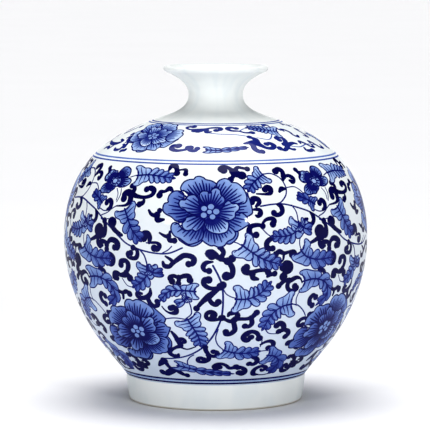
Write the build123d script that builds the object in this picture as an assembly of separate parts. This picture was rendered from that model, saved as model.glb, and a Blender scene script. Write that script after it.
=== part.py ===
"""Round-bellied porcelain vase with a small waisted neck, a flared mouth and a turned foot.

A vase of this form is too closed to be thrown or cast in one go. The potter makes four sections,
turns a stepped edge on each, and lutes them together with slip before glazing. Each section is a
solid here, and so is the ring of slip in each of the three joints. Every section is a solid of
revolution about Z. The foot stands on Z = 0. Lengths are in millimetres, headings in degrees.
"""

import math
import os
from dataclasses import dataclass

from build123d import *

# Outline of the outside, from the foot up. Each height is measured from the piece below it.
FOOT_RADIUS_AT_TABLE = 56.8
FOOT_RADIUS_AT_BODY = 59.0
FOOT_HEIGHT = 16.8
BODY_HEADING_AT_FOOT = 53.5

HIP_RADIUS = 81.5
HIP_ABOVE_FOOT = 29.4
HIP_HEADING = 57.5

BELLY_RADIUS = 100.0
BELLY_ABOVE_FOOT = 90.6

SHOULDER_RADIUS = 81.3
SHOULDER_BELOW_NECK = 24.1
SHOULDER_HEADING = 132.7

BODY_HEIGHT = 167.8
NECK_ROOT_RADIUS = 40.6
NECK_ROOT_HEADING = 160.2

WAIST_RADIUS = 17.8
WAIST_ABOVE_ROOT = 16.4

NECK_HEIGHT = 35.4
LIP_RADIUS = 34.5
LIP_THICKNESS = 4.0
LIP_UNDERSIDE_HEADING = 24.0
LIP_TOP_HEADING = 208.0

# Wall thickness, measured square to the outside.
FOOT_WALL = 8.4
FOOT_WALL_AT_TABLE = 5.8
FLOOR_THICKNESS = 7.0
FLOOR_CORNER_WALL = 8.0
HIP_WALL = 5.4
BELLY_WALL = 5.0
SHOULDER_WALL = 4.8
NECK_ROOT_WALL = 5.0
WAIST_WALL = 4.0

# Joints: two bare edges meet on the outer land, and slip fills the step behind it. The bead that
# is wiped off inside stands out by a share of the film, which is flatter than a half round.
SLIP_FILM = 0.8
SLIP_BEAD_PER_FILM = 0.4
BODY_LAND = 2.2
BODY_STEP = 3.0
FOOT_LAND = 6.0
FOOT_STEP = 5.0

# The floor of the inside is flat out to this share of the foot joint's radius, then it curves up.
FLOOR_FLAT_SHARE = 0.62
# Rounding of the two edges that the foot stands on, and the most of the wall that each may take.
FOOT_EDGE_RADIUS = 1.4
FOOT_EDGE_WALL_SHARE = 0.4
# The foot's outside fills out quickly above the table: the share of the radius that it has gained,
# and the shares of the height, at the two handles of its curve.
FOOT_SWELL = 0.6
FOOT_SWELL_LOW = 0.3
FOOT_SWELL_HIGH = 0.6

UP = 90.0
INWARD = 180.0
FULL_TURN = 360.0
HALF_TURN = 180.0
# A turn of less than this many radians is drawn as a straight line.
STRAIGHT_TURN = 1e-3
# Two heights closer than this are the same height.
SAME_HEIGHT = 1e-6


def direction(heading):
    """Unit vector in the (radius, height) half-plane for a heading in degrees."""
    return Vector(math.cos(math.radians(heading)), math.sin(math.radians(heading)))


@dataclass(frozen=True)
class Station:
    """A point that an outline passes through, and the heading it has there."""

    radius: float
    height: float
    heading: float

    @property
    def point(self):
        """The station's place in the half-plane."""
        return Vector(self.radius, self.height)

    def inside(self, wall):
        """The station's partner on the inner wall, one wall thickness to the left of the heading."""
        moved = self.point + direction(self.heading + UP) * wall
        return Station(moved.X, moved.Y, self.heading)

    def turned_back(self):
        """The same place, passed in the other direction."""
        return Station(self.radius, self.height, self.heading + HALF_TURN)


def flowing_curve(start, end):
    """Bezier edge between two stations that is close to a round arc and leaves no corner at either."""
    chord = (end.point - start.point).length
    turned_by = (end.heading - start.heading + HALF_TURN) % FULL_TURN - HALF_TURN
    turn = abs(math.radians(turned_by))
    if turn < STRAIGHT_TURN:
        reach = chord / 3.0
    else:
        reach = chord * (4.0 / 3.0) * math.tan(turn / 4.0) / (2.0 * math.sin(turn / 2.0))
    return Bezier(
        start.point,
        start.point + direction(start.heading) * reach,
        end.point - direction(end.heading) * reach,
        end.point,
    )


def flowing_outline(stations):
    """Smooth chain of edges through the stations."""
    return [flowing_curve(a, b) for a, b in zip(stations, stations[1:])]


def straight_outline(points):
    """Chain of straight edges through the points."""
    return [Line(a, b) for a, b in zip(points, points[1:])]


@dataclass(frozen=True)
class Joint:
    """Stepped joint between a lower and an upper section, drawn from a point on the outside.

    rise is +1 where the lower section carries the inner tongue, and -1 where the upper one does.
    """

    outer: Station
    wall: float
    land: float
    step: float
    rise: int = 1

    def at(self, depth, along):
        """Point at a depth below the outside, and at a distance along it from the joint."""
        inward = direction(self.outer.heading + UP)
        forward = direction(self.outer.heading)
        return self.outer.point + inward * depth + forward * (along * self.rise)

    def tongue_edge(self):
        """Edge of the section that carries the tongue, from the outside in to the inner wall."""
        root = self.land + SLIP_FILM
        return [
            self.at(0.0, 0.0),
            self.at(root, 0.0),
            self.at(root, self.step),
            self.at(self.wall, self.step),
        ]

    def rebate_edge(self):
        """Edge of the section that fits over the tongue, from the outside in to the inner wall."""
        roof = self.step + SLIP_FILM
        return [
            self.at(0.0, 0.0),
            self.at(self.land, 0.0),
            self.at(self.land, roof),
            self.at(self.wall, roof),
        ]

    def seam_face(self):
        """Section through the slip: the film round the tongue and the wiped bead on the inside."""
        root = self.land + SLIP_FILM
        roof = self.step + SLIP_FILM
        inner_low = self.at(self.wall, self.step)
        inner_high = self.at(self.wall, roof)
        bead_tip = self.at(self.wall + SLIP_FILM * SLIP_BEAD_PER_FILM, self.step + SLIP_FILM / 2.0)
        edges = straight_outline(
            [
                inner_high,
                self.at(self.land, roof),
                self.at(self.land, 0.0),
                self.at(root, 0.0),
                self.at(root, self.step),
                inner_low,
            ]
        )
        edges.append(ThreePointArc(inner_low, bead_tip, inner_high))
        return closed_face(edges)


def closed_face(edges):
    """Face bounded by a closed chain of edges."""
    return make_face(Wire(edges))


def turned(face):
    """Solid of revolution: the half-plane's first axis becomes the radius, its second the height."""
    upright = Plane.XZ * face
    return revolve(upright, axis=Axis.Z, revolution_arc=FULL_TURN)


NECK_ROOT_HEIGHT = FOOT_HEIGHT + BODY_HEIGHT
MOUTH_HEIGHT = NECK_ROOT_HEIGHT + NECK_HEIGHT

foot_top = Station(FOOT_RADIUS_AT_BODY, FOOT_HEIGHT, UP)
body_foot = Station(FOOT_RADIUS_AT_BODY, FOOT_HEIGHT, BODY_HEADING_AT_FOOT)
hip = Station(HIP_RADIUS, FOOT_HEIGHT + HIP_ABOVE_FOOT, HIP_HEADING)
belly = Station(BELLY_RADIUS, FOOT_HEIGHT + BELLY_ABOVE_FOOT, UP)
shoulder = Station(SHOULDER_RADIUS, NECK_ROOT_HEIGHT - SHOULDER_BELOW_NECK, SHOULDER_HEADING)
neck_root = Station(NECK_ROOT_RADIUS, NECK_ROOT_HEIGHT, NECK_ROOT_HEADING)
waist = Station(WAIST_RADIUS, NECK_ROOT_HEIGHT + WAIST_ABOVE_ROOT, UP)

foot_joint = Joint(foot_top, FOOT_WALL, FOOT_LAND, FOOT_STEP, rise=-1)
belly_joint = Joint(belly, BELLY_WALL, BODY_LAND, BODY_STEP)
neck_joint = Joint(neck_root, NECK_ROOT_WALL, BODY_LAND, BODY_STEP)


def joint_station(joint, along):
    """Station on the inner wall at a joint, at a distance along the joint's heading."""
    place = joint.at(joint.wall, along)
    return Station(place.X, place.Y, joint.outer.heading)


def foot_ring():
    """Foot: a thrown ring with a rebate for the body's boss and two rounded standing edges."""
    rebate = foot_joint.rebate_edge()
    table_outer = Vector(FOOT_RADIUS_AT_TABLE, 0.0)
    table_inner = Vector(FOOT_RADIUS_AT_TABLE - FOOT_WALL_AT_TABLE, 0.0)
    swell = (FOOT_RADIUS_AT_BODY - FOOT_RADIUS_AT_TABLE) * FOOT_SWELL
    outer_wall = Bezier(
        table_outer,
        Vector(FOOT_RADIUS_AT_TABLE + swell, FOOT_HEIGHT * FOOT_SWELL_LOW),
        Vector(FOOT_RADIUS_AT_BODY, FOOT_HEIGHT * FOOT_SWELL_HIGH),
        foot_top.point,
    )
    edges = [outer_wall, *straight_outline([*rebate, table_inner, table_outer])]
    ring = turned(closed_face(edges))
    circles = ring.edges().filter_by(GeomType.CIRCLE)
    standing = [edge for edge in circles if abs(edge.arc_center.Z) < SAME_HEIGHT]
    rounding = min(FOOT_EDGE_RADIUS, FOOT_WALL_AT_TABLE * FOOT_EDGE_WALL_SHARE)
    return fillet(standing, radius=rounding)


def lower_body():
    """Lower half of the belly, with the floor and the boss that sits in the foot."""
    boss = foot_joint.tongue_edge()
    floor_height = FOOT_HEIGHT - FOOT_STEP + FLOOR_THICKNESS
    floor_edge = Station(FOOT_RADIUS_AT_BODY * FLOOR_FLAT_SHARE, floor_height, INWARD)
    tongue = belly_joint.tongue_edge()
    inner_stations = [
        joint_station(belly_joint, BODY_STEP).turned_back(),
        hip.inside(HIP_WALL).turned_back(),
        body_foot.inside(FLOOR_CORNER_WALL).turned_back(),
        floor_edge,
    ]
    floor_centre = Vector(0.0, floor_height)
    boss_centre = Vector(0.0, boss[2].Y)
    edges = [
        *flowing_outline([body_foot, hip, belly]),
        *straight_outline(tongue),
        *flowing_outline(inner_stations),
        *straight_outline([floor_edge.point, floor_centre, boss_centre, *reversed(boss[:3])]),
    ]
    return turned(closed_face(edges))


def upper_body():
    """Upper half of the belly and the shoulder, up to the root of the neck."""
    inner_stations = [
        joint_station(neck_joint, BODY_STEP).turned_back(),
        shoulder.inside(SHOULDER_WALL).turned_back(),
        joint_station(belly_joint, BODY_STEP + SLIP_FILM).turned_back(),
    ]
    edges = [
        *flowing_outline([belly, shoulder, neck_root]),
        *straight_outline(neck_joint.tongue_edge()),
        *flowing_outline(inner_stations),
        *straight_outline(belly_joint.rebate_edge()[::-1]),
    ]
    return turned(closed_face(edges))


def neck_and_mouth():
    """Neck with its waist, the flare and the rounded lip."""
    lip_round = LIP_THICKNESS / 2.0
    lip_under = Station(LIP_RADIUS - lip_round, MOUTH_HEIGHT - LIP_THICKNESS, LIP_UNDERSIDE_HEADING)
    lip_edge = Station(LIP_RADIUS, MOUTH_HEIGHT - lip_round, UP)
    lip_top = Station(LIP_RADIUS - lip_round, MOUTH_HEIGHT, INWARD)
    slope = direction(LIP_TOP_HEADING) * LIP_THICKNESS / 2.0
    lip_inner = Station(lip_top.radius - lip_round + slope.X, MOUTH_HEIGHT + slope.Y, LIP_TOP_HEADING)
    inner_stations = [
        lip_top,
        lip_inner,
        waist.inside(WAIST_WALL).turned_back(),
        joint_station(neck_joint, BODY_STEP + SLIP_FILM).turned_back(),
    ]
    edges = [
        *flowing_outline([neck_root, waist, lip_under, lip_edge, lip_top]),
        *flowing_outline(inner_stations),
        *straight_outline(neck_joint.rebate_edge()[::-1]),
    ]
    return turned(closed_face(edges))


def main():
    """Builds every piece and writes one STEP file for each."""
    pieces = {
        "foot_ring": foot_ring(),
        "lower_body": lower_body(),
        "upper_body": upper_body(),
        "neck_and_mouth": neck_and_mouth(),
        "foot_slip_seam": turned(foot_joint.seam_face()),
        "belly_slip_seam": turned(belly_joint.seam_face()),
        "neck_slip_seam": turned(neck_joint.seam_face()),
    }
    os.makedirs("parts", exist_ok=True)
    for name, piece in pieces.items():
        export_step(piece, f"parts/{name}.step")


main()
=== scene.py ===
"""Looks of a round-bellied blue-and-white porcelain vase.

The vase is four turned sections that were luted together, glazed and fired. Its belly and shoulder
carry an underglaze blue flower scroll, which repeats four times round the belly and twice round the
shoulder. Lengths in the classes are in millimetres and angles in degrees; meshes are made in metres,
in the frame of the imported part. A place on the painting is its degrees round from the front and its
millimetres along the outside, up from the foot joint.
"""

import logging
import math
from dataclasses import dataclass
from enum import Enum
from typing import Any, Callable, Optional, Sequence

import bmesh
import bpy
import numpy as np
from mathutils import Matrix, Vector
from mathutils.geometry import delaunay_2d_cdt


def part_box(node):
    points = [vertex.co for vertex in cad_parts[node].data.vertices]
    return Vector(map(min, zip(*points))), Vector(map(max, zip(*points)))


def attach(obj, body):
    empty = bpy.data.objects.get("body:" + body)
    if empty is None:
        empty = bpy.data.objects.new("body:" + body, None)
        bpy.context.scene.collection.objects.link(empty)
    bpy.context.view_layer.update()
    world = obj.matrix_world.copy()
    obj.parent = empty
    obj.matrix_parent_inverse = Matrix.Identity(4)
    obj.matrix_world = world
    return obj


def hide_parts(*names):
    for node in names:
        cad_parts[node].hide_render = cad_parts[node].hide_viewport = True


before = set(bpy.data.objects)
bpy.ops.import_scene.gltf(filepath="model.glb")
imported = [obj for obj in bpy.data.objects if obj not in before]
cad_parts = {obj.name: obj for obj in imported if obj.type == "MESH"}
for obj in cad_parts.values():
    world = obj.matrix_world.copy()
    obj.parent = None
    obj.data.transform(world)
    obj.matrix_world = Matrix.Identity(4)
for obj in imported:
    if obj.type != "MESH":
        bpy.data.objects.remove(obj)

LOG = logging.getLogger("vase")
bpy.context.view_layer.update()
MM = 0.001
# Headings along a profile, in degrees.
UP = 90.0
INWARD = 180.0
# Facets round the vase.
STEPS_ROUND = 288
# How far the belly's and the shoulder's painted sectors reach to either side, in degrees.
BODY_HALF = 45.0
SHOULDER_HALF = 90.0
# Where the one painting ends and the other begins, in millimetres along the outside.
SHOULDER_LINE = 166.5
# How often the glaze's clouding comes back round the vase.
NOISE_REPEATS = 4
# Name of the UV map that each piece carries for its finishes.
BAKE_MAP = "OFBake"
# How much a pressed brush widens a scroll stroke.
PRESS = 1.24
Point = tuple[float, float]


class Part(Enum):
    """Names of the finished pieces and of the CAD nodes that they stand for."""

    FOOT = ("vase_foot", "foot_ring", "white_glaze")
    LOWER = ("vase_lower_belly", "lower_body", "painted_glaze")
    UPPER = ("vase_shoulder", "upper_body", "painted_glaze")
    NECK = ("vase_neck", "neck_and_mouth", "white_glaze")


class Ink(float, Enum):
    """How much cobalt a brush leaves, from a thin wash to a loaded stroke."""

    PALE = 0.22
    MID = 0.5
    DEEP = 0.78
    DARK = 0.97


# ---------------------------------------------------------------- turned shape


@dataclass(frozen=True)
class Station:
    """A point that an outline passes through, and the heading it has there."""

    radius: float
    height: float
    heading: float

    def inside(self, wall: float) -> "Station":
        """The partner on the inner wall, one wall thickness to the left of the heading.

        Args:
            wall: wall thickness.

        Returns:
            The partner station, with the same heading.
        """
        turn = math.radians(self.heading + 90.0)
        return Station(
            self.radius + math.cos(turn) * wall, self.height + math.sin(turn) * wall, self.heading
        )

    def turned_back(self) -> "Station":
        """The same place, passed in the other direction."""
        return Station(self.radius, self.height, self.heading + 180.0)


def flowing(start: Station, end: Station, steps: int) -> np.ndarray:
    """Samples the smooth curve between two stations.

    Args:
        start: where the curve leaves.
        end: where it arrives.
        steps: number of spans.

    Returns:
        Rows of radius, height and heading.
    """
    a = np.array([start.radius, start.height])
    b = np.array([end.radius, end.height])
    chord = float(np.linalg.norm(b - a))
    turn = abs(math.radians((end.heading - start.heading + 180.0) % 360.0 - 180.0))
    reach = chord / 3.0
    if turn > 1e-3:
        reach = chord * (4.0 / 3.0) * math.tan(turn / 4.0) / (2.0 * math.sin(turn / 2.0))
    ha, hb = math.radians(start.heading), math.radians(end.heading)
    p1 = a + reach * np.array([math.cos(ha), math.sin(ha)])
    p2 = b - reach * np.array([math.cos(hb), math.sin(hb)])
    t = np.linspace(0.0, 1.0, steps + 1)[:, None]
    place = (1 - t) ** 3 * a + 3 * (1 - t) ** 2 * t * p1 + 3 * (1 - t) * t * t * p2 + t**3 * b
    slope = (1 - t) ** 2 * (p1 - a) + 2 * (1 - t) * t * (p2 - p1) + t * t * (b - p2)
    heading = np.degrees(np.unwrap(np.arctan2(slope[:, 1], slope[:, 0])))
    return np.column_stack([place, heading])


def straight(points: Sequence[Sequence[float]], glaze: float = 1.0) -> np.ndarray:
    """Samples straight spans, with a doubled point at each corner.

    Args:
        points: radius and height of each corner.
        glaze: 1 where the spans are glazed, 0 where they are bare.

    Returns:
        Rows of radius, height, heading and glaze.
    """
    rows = []
    for a, b in zip(points, points[1:]):
        heading = math.degrees(math.atan2(b[1] - a[1], b[0] - a[0]))
        rows += [(a[0], a[1], heading, glaze), (b[0], b[1], heading, glaze)]
    return np.array(rows)


def smooth(stations: Sequence[Station], steps: int = 16, glaze: float = 1.0) -> np.ndarray:
    """Samples a smooth chain through stations.

    Args:
        stations: the stations, in order.
        steps: spans between two stations.
        glaze: 1 where the chain is glazed, 0 where it is bare.

    Returns:
        Rows of radius, height, heading and glaze.
    """
    spans = [flowing(a, b, steps)[1:] for a, b in zip(stations, stations[1:])]
    rows = np.vstack([flowing(stations[0], stations[1], steps)[:1]] + spans)
    return np.column_stack([rows, np.full(len(rows), glaze)])


@dataclass(frozen=True)
class Joint:
    """Stepped joint between two sections, drawn from a point on the outside."""

    outer: Station
    wall: float
    land: float
    step: float
    rise: int = 1
    film: float = 0.8

    def at(self, depth: float, along: float) -> Point:
        """Point at a depth below the outside and at a distance along it from the joint.

        Args:
            depth: how far below the outside.
            along: how far along it from the joint.

        Returns:
            Radius and height.
        """
        h = math.radians(self.outer.heading)
        back = h + math.pi / 2
        along *= self.rise
        return (
            self.outer.radius + math.cos(back) * depth + math.cos(h) * along,
            self.outer.height + math.sin(back) * depth + math.sin(h) * along,
        )

    def tongue(self) -> list[Point]:
        """Edge of the section that carries the tongue, from the outside in."""
        root = self.land + self.film
        return [self.at(0, 0), self.at(root, 0), self.at(root, self.step), self.at(self.wall, self.step)]

    def rebate(self) -> list[Point]:
        """Edge of the section that fits over the tongue, from the outside in."""
        roof = self.step + self.film
        return [self.at(0, 0), self.at(self.land, 0), self.at(self.land, roof), self.at(self.wall, roof)]

    def inner(self, along: float) -> Station:
        """Station on the inner wall at a distance along the joint's heading."""
        place = self.at(self.wall, along)
        return Station(place[0], place[1], self.outer.heading)


@dataclass(frozen=True)
class VaseSizes:
    """Sizes of the vase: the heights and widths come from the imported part."""

    foot_height: float
    foot_radius: float
    belly_height: float
    belly_radius: float
    root_height: float
    root_radius: float
    mouth_height: float
    foot_radius_at_table: float = 56.8
    foot_wall_at_table: float = 5.8
    foot_edge: float = 1.4
    lip_radius: float = 34.5
    lip_thickness: float = 4.0
    lip_underside_heading: float = 24.0
    lip_top_heading: float = 208.0
    floor_thickness: float = 7.0
    floor_flat_share: float = 0.62
    foot_swell: tuple[Point, Point] = ((58.12, 5.04), (59.0, 10.08))
    heading_at_foot: float = 53.5
    hip_radius: float = 81.5
    hip_above_foot: float = 29.4
    hip_heading: float = 57.5
    shoulder_radius: float = 81.3
    shoulder_below_root: float = 24.1
    shoulder_heading: float = 132.7
    root_heading: float = 160.2
    waist_radius: float = 17.8
    waist_above_root: float = 16.4
    foot_wall: float = 8.4
    floor_corner_wall: float = 8.0
    hip_wall: float = 5.4
    belly_wall: float = 5.0
    shoulder_wall: float = 4.8
    root_wall: float = 5.0
    waist_wall: float = 4.0
    foot_land: float = 6.0
    foot_step: float = 5.0
    body_land: float = 2.2
    body_step: float = 3.0

    @classmethod
    def from_frame(cls) -> "VaseSizes":
        """Reads the heights and radii of the CAD nodes.

        Returns:
            The sizes, with the measured ones taken from the frame.
        """
        foot, upper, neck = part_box("foot_ring"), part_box("upper_body"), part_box("neck_and_mouth")
        return cls(
            foot_height=foot[1][2] / MM,
            foot_radius=59.0,
            belly_height=upper[0][2] / MM,
            belly_radius=upper[1][0] / MM,
            root_height=upper[1][2] / MM,
            root_radius=neck[1][0] / MM,
            mouth_height=neck[1][2] / MM,
        )

    @property
    def foot_top(self) -> Station:
        """Top of the foot's outside."""
        return Station(self.foot_radius, self.foot_height, UP)

    @property
    def body_stations(self) -> list[Station]:
        """Outside of the body, from the foot joint to the root of the neck.

        Returns:
            Five stations, from the bottom up.
        """
        return [
            Station(self.foot_radius, self.foot_height, self.heading_at_foot),
            Station(self.hip_radius, self.foot_height + self.hip_above_foot, self.hip_heading),
            Station(self.belly_radius, self.belly_height, UP),
            Station(self.shoulder_radius, self.root_height - self.shoulder_below_root, self.shoulder_heading),
            Station(self.root_radius, self.root_height, self.root_heading),
        ]

    @property
    def waist(self) -> Station:
        """Narrowest place of the neck."""
        return Station(self.waist_radius, self.root_height + self.waist_above_root, UP)

    @property
    def joints(self) -> tuple[Joint, Joint, Joint]:
        """The foot, belly and neck joints.

        Returns:
            The three joints, from the bottom up.
        """
        body = self.body_stations
        return (
            Joint(self.foot_top, self.foot_wall, self.foot_land, self.foot_step, rise=-1),
            Joint(body[2], self.belly_wall, self.body_land, self.body_step),
            Joint(body[4], self.root_wall, self.body_land, self.body_step),
        )


class BodyOutline:
    """Outside of the body as a function of the distance along it from the foot joint."""

    def __init__(self, sizes: VaseSizes) -> None:
        """Samples the outline finely enough to look values up.

        Args:
            sizes: the sizes of the vase.
        """
        rows = smooth(sizes.body_stations, 300)
        self.radius, self.height, self.heading = rows[:, 0], rows[:, 1], rows[:, 2]
        spans = np.hypot(np.diff(self.radius), np.diff(self.height))
        self.arc = np.concatenate([[0.0], np.cumsum(spans)])
        self.length = float(self.arc[-1])
        self.belly = float(np.interp(sizes.belly_height, self.height, self.arc))

    def at(self, arc: np.ndarray) -> tuple[np.ndarray, np.ndarray, np.ndarray]:
        """Radius, height and heading at distances along the outline.

        Args:
            arc: millimetres along the outline, up from the foot joint.

        Returns:
            Radius, height and heading, one array each.
        """
        return (
            np.interp(arc, self.arc, self.radius),
            np.interp(arc, self.arc, self.height),
            np.interp(arc, self.arc, self.heading),
        )

    def per_degree(self, arc: np.ndarray) -> np.ndarray:
        """Millimetres round the vase in one degree, at distances along the outline."""
        return np.interp(arc, self.arc, self.radius) * math.pi / 180.0


# ---------------------------------------------------------------- painting


@dataclass
class Patch:
    """A painted region: its closed outline in degrees and millimetres, and its wash."""

    outline: np.ndarray
    wash: Callable[[np.ndarray], np.ndarray]

    def holds(self, points: np.ndarray) -> np.ndarray:
        """Tells which points lie inside, by winding number, so that overlaps of one stroke count.

        Args:
            points: rows of degrees and millimetres.

        Returns:
            One truth value for each point.
        """
        inside = np.zeros(len(points), bool)
        low, high = self.outline.min(0), self.outline.max(0)
        near = np.flatnonzero(((points >= low) & (points <= high)).all(1))
        if not len(near):
            return inside
        p = points[near]
        a, b = self.outline, np.roll(self.outline, -1, axis=0)
        turns = np.zeros(len(near), int)
        for (ax, ay), (bx, by) in zip(a, b):
            side = (bx - ax) * (p[:, 1] - ay) - (p[:, 0] - ax) * (by - ay)
            turns += ((ay <= p[:, 1]) & (by > p[:, 1]) & (side > 0)).astype(int)
            turns -= ((ay > p[:, 1]) & (by <= p[:, 1]) & (side < 0)).astype(int)
        inside[near[turns != 0]] = True
        return inside

    def moved(self, degrees: float) -> "Patch":
        """The same patch, further round the vase."""
        shift = np.array([degrees, 0.0])
        return Patch(self.outline + shift, lambda p: self.wash(p - shift))


def through(points: np.ndarray, steps: int, closed: bool = False) -> np.ndarray:
    """Smooth line through points.

    Args:
        points: rows of any width.
        steps: spans between two points.
        closed: True to join the last point to the first.

    Returns:
        The sampled rows.
    """
    if closed:
        around = np.vstack([points[-1:], points, points[:2]])
    else:
        around = np.vstack([2 * points[0] - points[1], points, 2 * points[-1] - points[-2]])
    t = np.linspace(0.0, 1.0, steps, endpoint=False)[:, None]
    rows = []
    for p0, p1, p2, p3 in zip(around, around[1:], around[2:], around[3:]):
        rows.append(
            p1 + 0.5 * t * (p2 - p0 + t * (2 * p0 - 5 * p1 + 4 * p2 - p3 + t * (3 * (p1 - p2) + p3 - p0)))
        )
    if not closed:
        rows.append(points[-1:])
    return np.vstack(rows)


class Painter:
    """Collects the patches of the painting in the order in which they are laid on."""

    def __init__(self, outline: BodyOutline, half: float) -> None:
        """Starts with a bare surface that reaches `half` degrees to either side.

        Args:
            outline: the outside that is painted.
            half: how far the surface reaches to either side, in degrees.
        """
        self.outline = outline
        self.half = half
        self.patches: list[Patch] = []

    def flat(self, points: np.ndarray) -> np.ndarray:
        """Degrees and millimetres to plain millimetres about azimuth zero."""
        return np.column_stack([points[:, 0] * self.outline.per_degree(points[:, 1]), points[:, 1]])

    def round_(self, points: np.ndarray) -> np.ndarray:
        """Plain millimetres about azimuth zero back to degrees and millimetres."""
        return np.column_stack([points[:, 0] / self.outline.per_degree(points[:, 1]), points[:, 1]])

    def place(self, centre: Point, local: np.ndarray) -> np.ndarray:
        """Puts a shape drawn in millimetres about its centre on the vase."""
        arc = centre[1] + local[:, 1]
        return np.column_stack([centre[0] + local[:, 0] / self.outline.per_degree(arc), arc])

    def fill(self, outline: np.ndarray, wash: Callable[[np.ndarray], np.ndarray]) -> None:
        """Lays one patch on top of those before it."""
        self.patches.append(Patch(outline, wash))

    def stroke(
        self, points: Sequence[Point], widths: Sequence[float], ink: float = Ink.DARK, steps: int = 5
    ) -> None:
        """Lays a round-ended brush stroke of even ink.

        Args:
            points: its middle line, in degrees and millimetres.
            widths: its width at each of those points, in millimetres.
            ink: how dark it is.
            steps: spans between two points.
        """
        line = np.array(points, float)
        middle = line[:, 0].mean()
        flat = self.flat(line - [middle, 0.0])
        rows = through(np.column_stack([flat, np.array(widths, float)]), steps)
        place, half = rows[:, :2], np.maximum(rows[:, 2], 0.25) / 2
        slope = np.gradient(place, axis=0)
        slope /= np.maximum(np.linalg.norm(slope, axis=1, keepdims=True), 1e-9)
        side = np.column_stack([-slope[:, 1], slope[:, 0]]) * half[:, None]
        caps = []
        for end, way in ((-1, 1.0), (0, -1.0)):
            start = math.atan2(side[end, 1] * way, side[end, 0] * way)
            count = 7 if half[end] > 0.6 else 3
            turn = start - np.linspace(0.0, math.pi, count)[1:-1]
            caps.append(place[end] + half[end] * np.column_stack([np.cos(turn), np.sin(turn)]))
        ring = np.vstack([place + side, caps[0], (place - side)[::-1], caps[1]])
        ring = self.round_(ring) + [middle, 0.0]
        self.fill(ring, lambda p: np.full(len(p), float(ink)))

    def scroll(self, points: Sequence[Point], widths: Sequence[float], ink: float = Ink.DARK) -> None:
        """Lays a bold scroll stroke, whose blunt ends swell into bulbs.

        Args:
            points: its middle line, in degrees and millimetres.
            widths: its width at each of those points before the brush is pressed down.
            ink: how dark it is.
        """
        self.stroke(points, [w * PRESS for w in widths], ink)
        turn = np.radians(np.arange(0.0, 360.0, 30.0))
        for end in (0, -1):
            if widths[end] < 1.8:
                continue
            radius = min(0.66 * max(widths), 0.8 * widths[end] + 0.3) * PRESS * 0.94
            disc = np.column_stack([np.cos(turn), np.sin(turn)]) * radius
            self.fill(self.place(points[end], disc), lambda p: np.full(len(p), float(ink)))

    def rim(self, ring: np.ndarray, width: float, ink: float) -> None:
        """Lays a thin line round a closed outline."""
        line = [tuple(p) for p in np.vstack([ring, ring[:2]])]
        self.stroke(line, [width] * len(line), ink, steps=1)

    def band(self, arc: float, width: float, ink: float) -> None:
        """Lays a line that runs all the way round.

        Args:
            arc: its middle, along the outside.
            width: its width.
            ink: how dark it is.
        """
        ends = self.half + 2.5
        turn = np.arange(-ends, ends + 0.1, 1.25)
        low = np.column_stack([turn, np.full(len(turn), arc - width / 2)])
        high = np.column_stack([turn, np.full(len(turn), arc + width / 2)])
        self.fill(np.vstack([low, high[::-1]]), lambda p: np.full(len(p), float(ink)))


@dataclass(frozen=True)
class Petal:
    """One petal: its outline in millimetres about the flower's middle, and its washes."""

    outline: tuple[Point, ...]
    base_ink: float
    tip_ink: float
    start: float = 0.2
    spacing: float = 6.5

    def paint(self, painter: Painter, flower: "Flower") -> None:
        """Lays the wash, the veins and the outline.

        Args:
            painter: what the petal is laid on.
            flower: where the petal belongs, which gives its place, size and tone.
        """
        edge = through(np.array(self.outline, float), 4, closed=True)
        angle, away = np.degrees(np.arctan2(edge[:, 1], edge[:, 0])), np.hypot(edge[:, 0], edge[:, 1])
        far = edge[away > away.max() * 0.6].mean(0)
        toward = math.degrees(math.atan2(far[1], far[0]))
        angle = (angle - toward + 180.0) % 360.0 - 180.0
        reach = away.max()
        ring = flower.place(painter, edge)

        def wash(points: np.ndarray) -> np.ndarray:
            """Ink that changes from the root of the petal to its tip.

            Args:
                points: rows of degrees and millimetres.

            Returns:
                The ink at each point.
            """
            share = np.hypot(*flower.unplace(painter, points).T) / reach
            blend = np.clip((share - self.start * 0.8) / (0.9 - self.start * 0.8), 0.0, 1.0)
            return 0.93 * self.base_ink + (self.tip_ink - 0.93 * self.base_ink) * blend + flower.tone

        painter.fill(ring, wash)
        spread = angle[away > reach * 0.45]
        for i, vein in enumerate(np.arange(spread.min() + 3.0, spread.max() - 2.0, self.spacing)):
            near = away[np.abs(angle - vein) < self.spacing * 0.8]
            if not len(near):
                continue
            end = near.max() * (0.88 - 0.08 * (i % 2))
            begin = max(near.max() * self.start, reach * self.start * 0.8)
            if end < begin * 1.2:
                continue
            radius = np.linspace(begin, end, 3)
            turn = np.radians(toward + vein * np.array([0.9, 1.02, 1.0]))
            line = flower.place(painter, np.column_stack([np.cos(turn), np.sin(turn)]) * radius[:, None])
            width = 1.15 * flower.size
            ink = Ink.DEEP + 0.1 + flower.tone * 0.4
            painter.stroke([tuple(p) for p in line], (width, width, width * 0.55), ink, steps=2)
        painter.rim(ring, 0.95, Ink.DARK - 0.05 + flower.tone * 0.2)


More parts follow.
